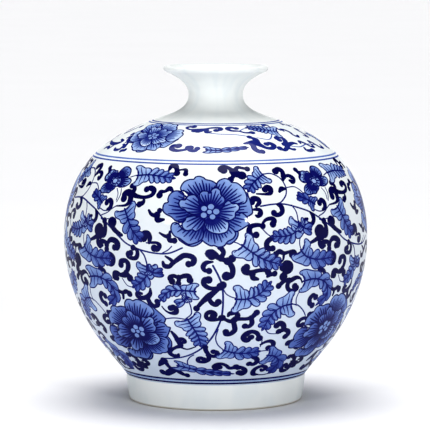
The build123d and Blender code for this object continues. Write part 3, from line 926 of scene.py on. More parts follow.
# Hooked scrolls between the foot lines and the widest ring.
LOWER_SCROLLS = (
    (((-47, 97), (-44.5, 98.6), (-42, 98.2), (-40.6, 96), (-40.8, 93.2), (-42, 91.8), (-43.8, 92.6)),
      (1, 2, 2.4, 3, 3.2, 3, 2.6)),
    (((-31.4, 103.4), (-30, 102.4), (-29.5, 100.2), (-30, 97.4), (-31.6, 96.6), (-33.2, 97.8),
      (-33.5, 99.4), (-32.4, 100)), (1.8, 2, 2.4, 2.6, 2.2, 3, 3.2, 1.8)),
    (((-37, 92), (-36.9, 94), (-35, 94.8), (-33.8, 93), (-33.9, 90), (-34.9, 86.8)),
      (2.6, 3, 2.6, 3, 3, 2)),
    (((-39.6, 83.2), (-40.8, 82.8), (-40.4, 85.8), (-39, 86.4), (-37.6, 85.2), (-35.6, 85.6), (-34.2, 86),
      (-33.4, 83.6)), (2, 2.6, 3.2, 2.4, 2.4, 3.4, 2.4, 2.4)),
    (((-48, 88.2), (-46, 87), (-45, 84), (-43.9, 81.4)), (3, 2.4, 2.6, 3)),
    (((-41.4, 70.6), (-41.6, 73.2), (-39.6, 74.2), (-38, 73.2), (-36, 74.4), (-34.6, 73)),
      (2.4, 3, 2.2, 2, 2.6, 2.4)),
    (((-38, 73.4), (-37.8, 71.6), (-38, 69.5)), (2, 1.8, 1.5)),
    (((-29, 73.8), (-30.8, 73.8), (-30.8, 71.8), (-29, 70.8), (-26.6, 72), (-25.3, 74.5), (-25.1, 77.6)),
      (1.6, 2.8, 3, 2.6, 2.8, 2.4, 1.2)),
    (((-26.8, 71.4), (-26, 67.6), (-24.3, 65.6), (-22.8, 66.8), (-22.8, 68.8)), (2.6, 2.8, 2.4, 2.8, 2.4)),
    (((-17.6, 64.8), (-16.6, 65.6), (-15.5, 64), (-15.9, 61.8), (-18, 61.2), (-20, 63), (-21.2, 65.8)),
      (2, 3, 3, 3, 1.6, 1, 0.7)),
    (((-19.4, 95.2), (-18.8, 92.9), (-17, 92.6), (-15.9, 94.4), (-14.6, 96.2), (-13, 98.2), (-11.4, 99.8),
      (-9, 99.4), (-7.8, 97.4), (-8.4, 94.8), (-9.8, 94.4)),
      (1.6, 2.6, 2.4, 2.4, 2.4, 2.8, 2.8, 2.8, 3.2, 3, 2)),
    (((-18.4, 99), (-16.6, 97.2), (-15.6, 95.6)), (1, 1.8, 2)),
    (((-16.2, 83), (-16.9, 85.2), (-15.4, 86.6), (-13.6, 85.6), (-11.4, 86.8), (-9.8, 86.4), (-9.4, 84)),
      (2.6, 3, 2.2, 2.2, 2.6, 3, 2.6)),
    (((-13.6, 85.6), (-13.6, 83.8), (-13.8, 81.8)), (2.6, 2.3, 2)),
    (((-1.4, 100), (-2.6, 101.2), (-1.4, 102.2), (-0.2, 100.4), (1.6, 98), (4, 96.6), (5.6, 93.6),
      (6.2, 90), (5.6, 86.8), (3.9, 86.8)), (3, 4, 3, 3.4, 2.6, 2.6, 3, 3, 3, 3.2)),
    (((1.8, 98.2), (2.8, 102), (1.6, 105.4)), (2.6, 2.6, 2.8)),
    (((4.2, 96.4), (5, 97), (5.9, 98)), (2.4, 2.8, 3.4)),
    (((-1, 96), (-3.4, 95.4), (-4.5, 93), (-4, 90.6), (-2.4, 90.2)), (1, 2.4, 2.8, 2.2, 2)),
    (((-2.6, 84.4), (-4, 84.2), (-4.3, 81.6), (-2.6, 79.2), (0, 78.8), (2.6, 81)),
      (3, 3.4, 2.8, 2.4, 2.2, 2.6)),
    (((1.8, 80), (0, 77), (-2.6, 73.4), (-5.2, 69.4), (-7.4, 65)), (2.6, 2.6, 3.6, 2.6, 2)),
    (((-2.8, 72.4), (-1.4, 68.8), (0.2, 68), (1, 69.6)), (2.4, 2.6, 3, 2.2)),
    (((-1, 59), (-0.4, 60.8), (-1.8, 62.4), (-3.4, 61.6), (-3.7, 58.8), (-2, 57), (0.6, 57.2),
      (2.6, 58.4)), (2.4, 3.2, 3, 2.4, 2.4, 2.2, 2, 2.2)),
    (((2.2, 58.4), (4, 57), (6, 55.8), (8, 57.4), (10, 57.4), (12.4, 57.4), (14.4, 58.4), (16.2, 61.6)),
      (2, 2, 2.4, 2.6, 2.2, 2.2, 2.6, 3)),
    (((7.6, 57), (8.7, 59.8), (7.6, 61.9), (5.6, 61.4), (4.9, 59.8)), (3, 3, 2.6, 2.8, 1.6)),
    (((7, 56), (7.7, 52), (7.8, 48.8), (6, 46.2), (4.2, 46.4), (4.2, 48)), (2.6, 2.8, 3, 2.8, 3, 2)),
    (((14.2, 58), (14.8, 54), (13.6, 51.6), (12, 52)), (2.6, 2.8, 2.4, 2.6)),
    (((15.4, 43.2), (13.8, 41.2), (12.3, 43.2), (13.2, 46), (15.4, 47.6), (17.8, 46), (19.2, 42)),
      (2, 4, 4, 3.6, 2.6, 2.6, 2.4)),
    (((20.6, 36.8), (22.6, 38.8), (25, 39.2), (26.8, 37.2), (26.6, 34.6), (24.8, 33.8)),
      (1.4, 2, 2.4, 2.8, 3, 2)),
    (((26, 51.4), (27, 53), (29, 51.4), (29.6, 48), (27.6, 46.6)), (3, 3.2, 3.2, 3.2, 2)),
    (((29.6, 48), (32, 46.6), (32.8, 44), (31.8, 42.2)), (2.4, 2.8, 3, 2.6)),
    (((38.8, 50.2), (37.2, 49.8), (36.2, 52), (37.2, 54.4), (39.2, 55.2), (40.8, 53.4), (41.3, 51)),
      (2, 2.6, 2.8, 2.6, 2.2, 2.2, 1.8)),
    (((41, 57.6), (41.8, 57.8), (42.6, 57.7)), (2, 2.8, 2.8)),
    (((34.8, 36.4), (36.4, 37.6), (38.4, 36.4), (39.8, 34.4), (40.8, 32.2), (41.8, 31.8)),
      (2.4, 3, 2.8, 3, 3.4, 2)),
    (((42, 69.6), (40.4, 71.2), (39.1, 69), (39.5, 65.8), (41.2, 64)), (2, 2.8, 3, 3, 2)),
    (((24, 79.4), (26.4, 82.8), (28.6, 82.6), (31, 84.2), (33, 83.4), (34, 80.5)),
      (2.4, 2.6, 2.8, 2.4, 1.2, 0.9)),
    (((28, 82.4), (27.6, 78.8), (28.8, 76), (30.8, 75.8), (31.8, 77.4), (30.8, 78.6)),
      (2.6, 2.6, 2.4, 2.6, 3, 2)),
    (((25.4, 91.6), (26.2, 93.8), (27.8, 92.8), (28, 90), (26.4, 88.4), (25.6, 85.4)),
      (3, 3.4, 4, 4, 3.8, 2.8)),
    (((11.2, 92.2), (10.2, 91.4), (10.8, 89.2), (13, 88.8), (15.4, 90), (18, 90.2), (19.4, 88.6)),
      (2.8, 3.2, 3, 2.8, 2.2, 2.2, 2)),
    (((13.4, 87.8), (13.8, 85.4), (15.6, 84.4)), (2.4, 3, 1.6)),
    (((19.2, 86), (20.6, 87.2), (22, 87.6)), (1.6, 2.2, 2.6)),
    (((22.2, 100), (23.6, 101.6), (25.4, 100.4), (27.4, 101), (29.4, 101), (30.2, 98.9), (29, 98),
      (28.6, 99.2)), (2.6, 2.8, 2.2, 1.8, 2.6, 2.6, 2.8, 2)),
    (((25.4, 100), (25, 96), (23, 93.6)), (1.6, 1.2, 0.8)),
    (((-31.4, 17), (-29, 20), (-27, 22.4)), (1.6, 3.4, 2.6)),
    (((-31.2, 10.8), (-29, 9.8), (-26.6, 11.4), (-24, 13.4), (-22, 14.4), (-20.4, 12), (-18.4, 10),
      (-16.4, 9.2)), (2.4, 3.6, 4.2, 4.2, 3.8, 3.2, 2.6, 1.8)),
    (((-26.6, 22), (-26, 17.6), (-24.4, 14.4)), (3, 2.6, 2.4)),
    (((-47, 19.2), (-44.6, 18.4), (-42.6, 16), (-41.4, 13.9), (-44, 13.4)), (1, 1.8, 3, 2.8, 1.4)),
    (((-42.4, 17), (-39.8, 16.6), (-38.2, 18.6), (-39.6, 20.2), (-41.4, 19.8)), (2, 2.4, 3, 2.6, 1.4)),
    (((-18.8, 47.2), (-17.6, 44), (-16.6, 40), (-16, 36.4), (-18.6, 34.4), (-21.2, 32.2), (-22.2, 29.6),
      (-20.8, 27.2), (-18.6, 27.4), (-17.8, 29)), (1.6, 2.6, 3, 3.2, 2, 2.6, 3, 2.8, 2.6, 1.2)),
    (((-16.8, 41), (-14.7, 41.6), (-13.8, 39.8), (-15, 38.4)), (2.4, 2.8, 2.8, 1.6)),
    (((-16, 34.8), (-13, 33.4), (-9, 35.8)), (1.4, 1, 0.8)),
    (((-4.8, 35.6), (-4.4, 32), (-2.8, 28.4), (-0.6, 27.6), (0.8, 29.2), (0.4, 31.4), (-1, 31.6)),
      (2.6, 2.6, 2.4, 2.6, 2.8, 2.6, 2)),
    (((-3.4, 28.6), (-3.4, 25), (-5, 22.6), (-7, 22.2), (-8.6, 23), (-8.5, 25.2), (-7, 26), (-5.8, 24.8)),
      (2.4, 2.6, 2.2, 2.2, 2.6, 2.6, 2.4, 1.8)),
    (((2, 17.4), (0.2, 16.2), (-0.8, 18.2), (0.6, 20.2), (3, 20.6), (5.4, 19), (7.2, 16.6), (10, 16.8),
      (12, 16.6)), (2.2, 2.8, 2.8, 2.4, 2.2, 2.2, 2.4, 2.4, 2)),
    (((10.6, 17.6), (13.6, 16.8), (15.8, 14.4), (16, 11.8), (14.4, 10.8), (13, 12)),
      (2.4, 2.4, 3, 3.2, 3.2, 2.2)),
    (((15.4, 26.4), (18.6, 26), (20.8, 24), (21.2, 21.2), (19.6, 19.4), (17.4, 20)),
      (1, 2.6, 3, 3, 2.8, 2)),
    (((24.6, 9.4), (22.2, 9.6), (21, 12), (22, 15.2), (24.6, 17), (27, 16.4), (28.2, 14.6), (26.4, 13),
      (25.2, 14.2)), (1, 2.6, 3, 2.8, 2.4, 2.6, 2.6, 2.4, 1.6)),
    (((24, 9.2), (28, 8.8), (33, 9.8)), (1, 0.8, 1)),
    (((40, 23.6), (42, 24.2), (44.4, 22), (45.4, 18)), (2.4, 3, 3, 3)),
    (((42.4, 14.4), (40.4, 16.6), (39, 14), (40.2, 11), (43, 10.6), (44.8, 13), (44.6, 17)),
      (1.8, 2.6, 2.8, 2.8, 2.6, 2.8, 2.4)),
)
# Scrolls between the shoulder lines and the root of the neck.
SHOULDER_SCROLLS = (
    (((-20.4, 177), (-23, 176.6), (-23.4, 173.8), (-20.4, 172.2), (-16.6, 173), (-13.6, 175.2)),
      (2.4, 3.4, 3, 2.4, 2, 2.6)),
    (((-14.8, 175.6), (-13, 172.8), (-10.4, 172.6), (-9.6, 174.6)), (2.6, 2.6, 2.6, 1.8)),
    (((-17.6, 201.4), (-21, 201.2), (-23, 199.6), (-19.4, 197.4), (-14, 197.4), (-8, 198.4), (-3, 200),
      (2.6, 200), (3.6, 197.4), (0.4, 196.4)), (2, 2.2, 1.6, 1.6, 2.2, 1.8, 2, 2.4, 2.8, 2)),
    (((-15.4, 195.6), (-12.4, 194.6), (-10.8, 196)), (2.4, 2.8, 2.2)),
    (((-7, 196.6), (-6, 193.8), (-3.4, 194.4)), (2, 2.8, 1.6)),
    (((15.6, 199), (11.4, 200.4), (8.8, 198.4), (11.6, 195.8), (16.6, 195), (20.4, 192.8), (25.6, 192.6)),
      (1.8, 2.8, 2.6, 2.2, 1.5, 1.7, 2.2)),
    (((16.2, 179.6), (19.6, 180.4), (22.4, 180.4), (24.6, 178), (27.4, 174.6), (30.8, 174), (33, 176.6),
      (31.2, 179), (29, 178.4)), (1.6, 3, 4.6, 3.6, 2.4, 2.8, 3.2, 3, 1.8)),
    (((23.6, 180), (24.2, 183.8), (21.4, 187)), (3.8, 3.6, 1.8)),
    (((20.8, 178.6), (20.6, 174), (22.4, 171.2), (24, 171)), (3, 3.4, 3.2, 2)),
    (((40, 182.2), (38.8, 184), (41, 185.6), (43.8, 184), (43.4, 180.4), (40.4, 177)),
      (2, 2.6, 2.6, 2.8, 3, 2)),
    (((35.4, 173.4), (37.4, 171.6), (40, 173.4), (43, 176.6), (47.4, 178), (50, 177)),
      (2.6, 2.4, 2.6, 3, 2.4, 1.6)),
    (((41, 173.4), (43.4, 171.6), (44.8, 171.8)), (2, 2, 1.6)),
    (((-51.5, 199.4), (-47, 201), (-41, 202), (-37.4, 202.2)), (1.4, 2, 2, 1.4)),
    (((42.5, 202.2), (46.4, 202), (46.8, 198.6), (50.4, 197.6), (52, 194)), (2, 1.8, 1.2, 2, 1.6)),
    (((53.6, 192.2), (54.2, 194.6), (56.8, 193.8), (58.4, 190.6), (57.4, 186.5), (59.4, 184.2),
      (61.6, 185.6)), (1.4, 2.2, 2.4, 2, 1.8, 2.4, 1.6)),
    (((68.2, 200.2), (69.4, 202), (72, 200.4), (74.6, 197.4), (77.6, 197.6), (77.4, 199.6)),
      (1.4, 2, 1.8, 1.6, 2, 1.4)),
    (((77.6, 191.2), (76, 193.4), (73.8, 190.6), (73.2, 186), (71, 182.6), (68.8, 184.4)),
      (1.4, 2.2, 2.2, 1.8, 2.4, 1.6)),
    (((53.4, 177), (54.6, 179), (57.4, 176.6), (59.4, 173), (62, 172.4), (62.6, 174.6)),
      (1.4, 2.2, 2, 1.8, 2.2, 1.4)),
    (((52.7, 172.4), (52.4, 170), (54.8, 169.2), (58, 169.6)), (1.6, 2, 2.4, 2)),
    (((63, 176.4), (64.4, 178.2), (66.6, 174.6), (68.6, 170.8), (71.6, 170.4), (72, 172.8)),
      (1.4, 2.2, 2, 1.8, 2.2, 1.4)),
    (((86.4, 196.6), (88, 198.6), (90.8, 194.6), (92.6, 190.4), (95.4, 190.4), (95.6, 192.8)),
      (1.4, 2.2, 2, 1.8, 2.2, 1.4)),
    (((90.2, 180.6), (91.6, 182.8), (94.8, 179.4), (94.4, 174.4), (91.4, 172.6)),
      (1.4, 2.4, 2.4, 1.8, 2.2)),
    (((-81.6, 188), (-80.4, 186), (-78, 189.6), (-77.6, 194.6), (-75.4, 197.6), (-73.6, 195.6)),
      (1.4, 2, 2, 1.6, 2, 1.4)),
    (((-66.4, 188.2), (-65.4, 186), (-63, 189.6), (-61, 194.6), (-57.6, 198), (-55.4, 196.4)),
      (1.4, 2, 2.2, 1.6, 2.2, 1.6)),
    (((-83.4, 175.8), (-75, 174.4), (-68, 174.8), (-64, 178), (-69, 179.8)), (1.4, 2.4, 3, 2, 1.4)),
    (((-64.4, 182), (-62.8, 184), (-60, 180), (-56.6, 179.6), (-55.4, 181.8)), (1.4, 2.2, 2.4, 2.4, 1.6)),
    (((-59.4, 177.4), (-57.6, 178.6), (-56.2, 175.6), (-55.4, 172.6)), (1.4, 2, 2, 1.8)),
    (((-76, 169.4), (-73.2, 171), (-70, 169.6), (-68.4, 172.6)), (1.8, 2.2, 2, 1.6)),
    (((-63.2, 170.8), (-61.4, 169.4), (-58, 170), (-57.4, 174), (-59.4, 175.4)), (1.4, 2, 2.2, 2, 1.4)),
    (((-55, 169), (-52.6, 170.2)), (2, 2.2)),
)
# Leaves of the belly.
LEAVES = (
    Leaf(((-35, 150.4), (-29, 151.4), (-23.5, 150.6), (-17.8, 149.6)), 6.6, 0.05, lobes=5),
    Leaf(((-36.6, 127.6), (-34.4, 121.4), (-32.2, 114.6), (-28.4, 108.4)), 7.6, 0.45, lobes=4),
    Leaf(((20.4, 152.4), (17.4, 149), (14.8, 145.4), (13, 141)), 6.6, 0.2, lobes=4),
    Leaf(((32.2, 120), (31.2, 114.4), (27, 111.2), (21, 111.4)), 6.4, 0.2, lobes=5),
    Leaf(((32.4, 118), (34.6, 115.4), (37.4, 114.4)), 4.4, 0.4, lobes=2),
    Leaf(((9.4, 106.6), (12.6, 102.4), (17.4, 97.2), (24, 93.4)), 7.6, 0.1, lobes=5),
    Leaf(((32.4, 102), (35, 97.6), (40.4, 95), (48, 95.4)), 7.4, 0.45, lobes=4),
    Leaf(((41, 130.2), (38, 133.4), (33.6, 136.4)), 4.4, 0.8, lobes=3),
    Leaf(((-25.8, 92.6), (-26.2, 86), (-29, 81), (-32.2, 78)), 6.6, 0.5, lobes=4),
    Leaf(((-25.6, 90), (-23, 88), (-20, 88.6)), 3.4, 0.7, lobes=2),
    Leaf(((-7.4, 76.6), (-12.4, 77), (-17.6, 76.2), (-21.4, 70)), 4.8, 0.2, lobes=5),
    Leaf(((-10.6, 72.6), (-12.6, 69.8), (-15, 67.8)), 3.2, 0.1, lobes=2),
    Leaf(((-11.4, 57.4), (-9.4, 51), (-7.4, 44), (-6.6, 36.6)), 8.2, 0.2, lobes=5),
    Leaf(((7.4, 71.4), (12, 71.4), (16.6, 74.4), (20.4, 81.6)), 8.2, 0.15, lobes=5),
    Leaf(((31, 66.4), (26.6, 65), (22.6, 59.6), (20, 49.4)), 8.2, 0.3, lobes=5),
    Leaf(((34.4, 81.4), (40, 82.4), (46, 79), (48, 71), (44, 65)), 6.6, 0.5, lobes=5),
    Leaf(((3.4, 33), (8.4, 30.6), (14, 29.8), (20.6, 31)), 6.8, 0.5, lobes=4),
    Leaf(((25.6, 27), (30.4, 25.4), (34.6, 19.4), (31.8, 10.8)), 7, 0.85, lobes=4),
    Leaf(((-20.6, 18.2), (-12.4, 15.4), (-4, 12.8), (8.6, 11.2)), 3.8, 0.65, lobes=5),
)
# Leaves of the shoulder band.
SHOULDER_LEAVES = (
    Leaf(((-5, 173.4), (1.6, 172.8), (8, 173.8), (16.4, 175.4)), 2.8, 0.3, lobes=4),
    Leaf(((47, 192), (41, 194.4), (34, 197.4), (25, 199.8)), 6.6, 0.1, lobes=6),
    Leaf(((82, 186), (83, 179), (81, 172), (80, 168.6)), 5.0, 0.3, lobes=4),
)
# Flowers: the double one is laid large on the belly, turned near the foot, and small on the band.
DOUBLE_PETALS = BACK_PETALS + OUTER_PETALS + INNER_PETALS
FLOWERS = (
    Flower((-2.3, 127.3), DOUBLE_PETALS, CENTRE_DOTS),
    Flower((-35.2, 45.6), DOUBLE_PETALS, CENTRE_DOTS, size=0.96, turn=28.0, tone=0.12),
    Flower((-45.8, 145.6), SMALL_PETALS, tone=0.04),
)
SHOULDER_FLOWERS = (
    Flower((-42.5, 186.6), DOUBLE_PETALS, CENTRE_DOTS, size=0.72, turn=-35.0, tone=-0.16, wide=1.12),
)


class FlowerScroll:
    """The interlocking flower scroll on the belly and on the shoulder."""

    def __init__(self, painter: Painter) -> None:
        """Keeps the painter that the motifs are laid with."""
        self.painter = painter

    def paint_body(self) -> None:
        """Lays the belly: lines and stems first, then scrolls, leaves and flowers."""
        for arc, width, ink in BODY_LINES:
            self.painter.band(arc, width, ink)
        for width, points in STEMS:
            self.painter.stroke(points, [width] * len(points), Ink.DEEP + 0.08, steps=6)
        for points, widths in UPPER_SCROLLS + LOWER_SCROLLS:
            self.painter.scroll(points, widths)
        for motif in LEAVES + FLOWERS:
            motif.paint(self.painter)

    def paint_shoulder(self) -> None:
        """Lays the band between the shoulder lines and the neck."""
        for arc, width, ink in NECK_LINES:
            self.painter.band(arc, width, ink)
        for width, points in SHOULDER_STEMS:
            self.painter.stroke(points, [width] * len(points), Ink.DEEP - 0.1)
        for points, widths in SHOULDER_SCROLLS:
            self.painter.scroll(points, widths, Ink.DEEP + 0.06)
        for motif in SHOULDER_LEAVES + SHOULDER_FLOWERS:
            motif.paint(self.painter)


# ---------------------------------------------------------------- meshes


@dataclass
class Loose:
    """Loose mesh parts, with the values that each face corner carries."""

    points: np.ndarray
    faces: list[tuple[int, ...]]
    ink: np.ndarray
    heading: np.ndarray
    glaze: np.ndarray
    uv: np.ndarray

    def to_mesh(self, name: str) -> bpy.types.Mesh:
        """Makes a mesh whose corners carry ink, heading, glaze and the bake map.

        Args:
            name: name of the mesh.

        Returns:
            The mesh.
        """
        mesh = bpy.data.meshes.new(name)
        mesh.from_pydata(self.points.tolist(), [], self.faces)
        for label, values in (("ink", self.ink), ("heading", self.heading), ("glaze", self.glaze)):
            mesh.attributes.new(label, "FLOAT", "CORNER").data.foreach_set("value", values.astype(np.float32))
        chart = mesh.attributes.new(BAKE_MAP, "FLOAT2", "CORNER")
        chart.data.foreach_set("vector", self.uv.astype(np.float32).ravel())
        return mesh


class PaintedTile:
    """A sector of the body's outside, cut along the edges of its painted patches."""

    across = 1.5
    grid_turn = 1.25
    grid_arc = 3.0

    def __init__(self, outline: BodyOutline, painter: Painter, low: float, high: float) -> None:
        """Cuts the sector into triangles and gives each the ink of the topmost patch over it.

        Args:
            outline: the body's outside.
            painter: the painting, and how far it reaches to either side.
            low: where the sector begins along the outline.
            high: where it ends.
        """
        self.outline = outline
        self.half, self.low, self.high = painter.half, low, high
        self.patches = self._with_neighbours(painter.patches)
        self.points, self.faces = self._cut_visible()
        self.inks = self._inks()

    def _with_neighbours(self, patches: Sequence[Patch]) -> list[Patch]:
        """Adds the parts of patches that reach in from the sectors on either side.

        Args:
            patches: the patches of one sector.

        Returns:
            The patches that touch the sector, in the order in which they are laid.
        """
        found = []
        for patch in patches:
            for turn in (-2 * self.half, 0.0, 2 * self.half):
                low, high = patch.outline[:, 0].min() + turn, patch.outline[:, 0].max() + turn
                if high > -self.half and low < self.half:
                    found.append(patch.moved(turn) if turn else patch)
        return found

    def _cut(
        self, chains: Sequence[tuple[np.ndarray, bool]], loose: np.ndarray
    ) -> tuple[np.ndarray, np.ndarray]:
        """Triangulates the sector.

        Args:
            chains: rows of degrees and millimetres that become edges, and whether each is closed.
            loose: other points to use.

        Returns:
            Points as rows of degrees and millimetres, and the triangles inside the sector.
        """
        wide, total = self.across, 0
        places, edges = [], []
        for rows, closed in chains:
            count = len(rows)
            last = count if closed else count - 1
            edges.extend((total + i, total + (i + 1) % count) for i in range(last))
            places.append(rows)
            total += count
        flat = np.vstack(places + [loose]) * [wide, 1.0]
        found, _, faces, *_ = delaunay_2d_cdt([Vector(p) for p in flat], edges, [], 0, 1e-4)
        points = np.array([tuple(p) for p in found]) / [wide, 1.0]
        triangles = np.array([f for f in faces if len(f) == 3])
        middle = points[triangles].mean(1)
        inside = (np.abs(middle[:, 0]) < self.half) & (middle[:, 1] > self.low) & (middle[:, 1] < self.high)
        return points, triangles[inside]

    def _cut_visible(self) -> tuple[np.ndarray, np.ndarray]:
        """Cuts along every outline, then again along only those that show.

        Returns:
            Points as rows of degrees and millimetres, and the triangles.
        """
        side = self.half
        turns = np.linspace(-side, side, int(2 * side / self.grid_turn) + 1)
        ups = np.linspace(self.low, self.high, int((self.high - self.low) / self.grid_arc) + 1)
        rims = [self.low, self.high] + [self.outline.belly] * (self.low < self.outline.belly < self.high)
        borders = [(np.column_stack([turns, np.full(len(turns), arc)]), False) for arc in rims]
        sides = [(np.column_stack([np.full(len(ups), turn), ups]), False) for turn in (-side, side)]
        points, faces = self._cut(
            borders + sides + [(patch.outline, True) for patch in self.patches], np.zeros((0, 2))
        )
        top = self._topmost(points[faces].mean(1))
        pairs: dict[tuple[int, int], list[int]] = {}
        for k, (a, b, c) in enumerate(faces.tolist()):
            for edge in ((a, b), (b, c), (c, a)):
                pairs.setdefault((min(edge), max(edge)), []).append(k)
        shown = [points[list(e)] for e, k in pairs.items() if len(k) == 2 and top[k[0]] != top[k[1]]]
        crossings = [p[1] for p in points if abs(abs(p[0]) - side) < 1e-3]
        arcs = np.unique(np.round(np.concatenate([ups, crossings]), 3))
        sides = [(np.column_stack([np.full(len(arcs), turn), arcs]), False) for turn in (-side, side)]
        grid = np.array([(t, a) for t in turns[1:-1] for a in ups[1:-1]])
        return self._cut(borders + sides + [(line, False) for line in shown], grid)

    def _topmost(self, places: np.ndarray) -> np.ndarray:
        """Number of the topmost patch over each place, or -1.

        Args:
            places: rows of degrees and millimetres.

        Returns:
            The number for each place.
        """
        top = np.full(len(places), -1)
        for k, patch in enumerate(self.patches):
            top[patch.holds(places)] = k
        return top

    def _inks(self) -> np.ndarray:
        """Ink at the three corners of each triangle.

        Returns:
            A row of three inks for each triangle.
        """
        corners = self.points[self.faces]
        top = self._topmost(corners.mean(1))
        inks = np.zeros((len(self.faces), 3))
        for k in np.unique(top[top >= 0]):
            rows = np.flatnonzero(top == k)
            inks[rows] = self.patches[k].wash(corners[rows].reshape(-1, 2)).reshape(-1, 3)
        return inks

    def loose(self, low: float, high: float) -> Loose:
        """The triangles between two distances along the outline, as a shape in metres.

        Args:
            low: where the piece starts, in millimetres along the outline.
            high: where it ends.

        Returns:
            The shape, with its ink, heading, glaze and bake map.
        """
        middle = self.points[self.faces].mean(1)[:, 1]
        rows = np.flatnonzero((middle > low) & (middle < high))
        used, packed = np.unique(self.faces[rows], return_inverse=True)
        packed = packed.reshape(-1, 3)
        turn, arc = self.points[used, 0], self.points[used, 1]
        radius, height, heading = self.outline.at(arc)
        angle = np.radians(turn)
        points = np.column_stack([np.sin(angle) * radius, -np.cos(angle) * radius, height]) * MM
        chart = np.column_stack(
            [
                0.01 + 0.98 * (turn + self.half) / (2 * self.half),
                0.09 + 0.9 * (arc - low) / (high - low),
            ]
        )
        corner = packed.ravel()
        return Loose(
            points,
            [tuple(f) for f in packed.tolist()],
            self.inks[rows].ravel(),
            heading[corner],
            np.ones(len(corner)),
            chart[corner],
        )


# ---------------------------------------------------------------- geometry nodes


class NodeTree:
    """Small helper that adds nodes to a tree and links their sockets."""

    def __init__(self, tree: bpy.types.NodeTree) -> None:
        """Keeps the tree."""
        self.tree = tree

    def add(
        self,
        kind: str,
        settings: Optional[dict[str, Any]] = None,
        inputs: Optional[dict[Any, Any]] = None,
    ) -> bpy.types.Node:
        """Adds a node.

        Args:
            kind: the node's type.
            settings: properties, set before the inputs.
            inputs: socket names or positions, each with a value, a socket or a Value.

        Returns:
            The node.
        """
        node = self.tree.nodes.new(kind)
        for name, value in (settings or {}).items():
            if name == "stops":
                self._set_stops(node.color_ramp, value)
            else:
                setattr(node, name, value)
        for key, value in (inputs or {}).items():
            self.feed(node.inputs[key], value)
        return node

    def _set_stops(self, ramp: bpy.types.ColorRamp, stops: Sequence[tuple[float, Any]]) -> None:
        """Gives a colour ramp its stops.

        Args:
            ramp: the ramp to set.
            stops: place and colour of each stop.
        """
        while len(ramp.elements) < len(stops):
            ramp.elements.new(0.5)
        for element, (place, colour) in zip(ramp.elements, stops):
            element.position, element.color = place, colour

    def feed(self, socket: bpy.types.NodeSocket, value: Any) -> None:
        """Links a socket or a Value to an input, or sets the input to a plain number.

        Args:
            socket: the input to set.
            value: a socket, a value or a plain number.
        """
        if isinstance(value, Value):
            value = value.socket
        if isinstance(value, bpy.types.NodeSocket):
            self.tree.links.new(value, socket)
        else:
            socket.default_value = value


@dataclass(frozen=True)
class Value:
    """A number socket that can be used in Python expressions, which add Math nodes."""

    nodes: NodeTree
    socket: bpy.types.NodeSocket

    def math(self, operation: str, *others: Any, first: Any = None) -> "Value":
        """Adds a Math node on this value and others.

        Args:
            operation: name of the operation.
            others: the values that follow the first.
            first: what to use as the first value, if not this one.

        Returns:
            The result.
        """
        start = self if first is None else first
        node = self.nodes.add(
            "ShaderNodeMath", {"operation": operation}, dict(enumerate((start, *others)))
        )
        return Value(self.nodes, node.outputs[0])

    def __add__(self, other: Any) -> "Value":
        """Sum."""
        return self.math("ADD", other)

    __radd__ = __add__

    def __sub__(self, other: Any) -> "Value":
        """Difference."""
        return self.math("SUBTRACT", other)

    def __rsub__(self, other: Any) -> "Value":
        """Difference from a number."""
        return self.math("SUBTRACT", self, first=other)

    def __mul__(self, other: Any) -> "Value":
        """Product."""
        return self.math("MULTIPLY", other)

    __rmul__ = __mul__

    def __truediv__(self, other: Any) -> "Value":
        """Quotient."""
        return self.math("DIVIDE", other)

    def __rtruediv__(self, other: Any) -> "Value":
        """A number over this value."""
        return self.math("DIVIDE", self, first=other)

    def floor(self) -> "Value":
        """Whole number below."""
        return self.math("FLOOR")

    def sine(self) -> "Value":
        """Sine of radians."""
        return self.math("SINE")

    def cosine(self) -> "Value":
        """Cosine of radians."""
        return self.math("COSINE")

    def step(self, low: float, high: float) -> "Value":
        """Smooth step from 0 at low to 1 at high.

        Args:
            low: where it starts to rise.
            high: where it is full.

        Returns:
            The eased value.
        """
        node = self.nodes.add(
            "ShaderNodeMapRange",
            {"interpolation_type": "SMOOTHSTEP"},
            {"Value": self, "From Min": low, "From Max": high},
        )
        return Value(self.nodes, node.outputs["Result"])


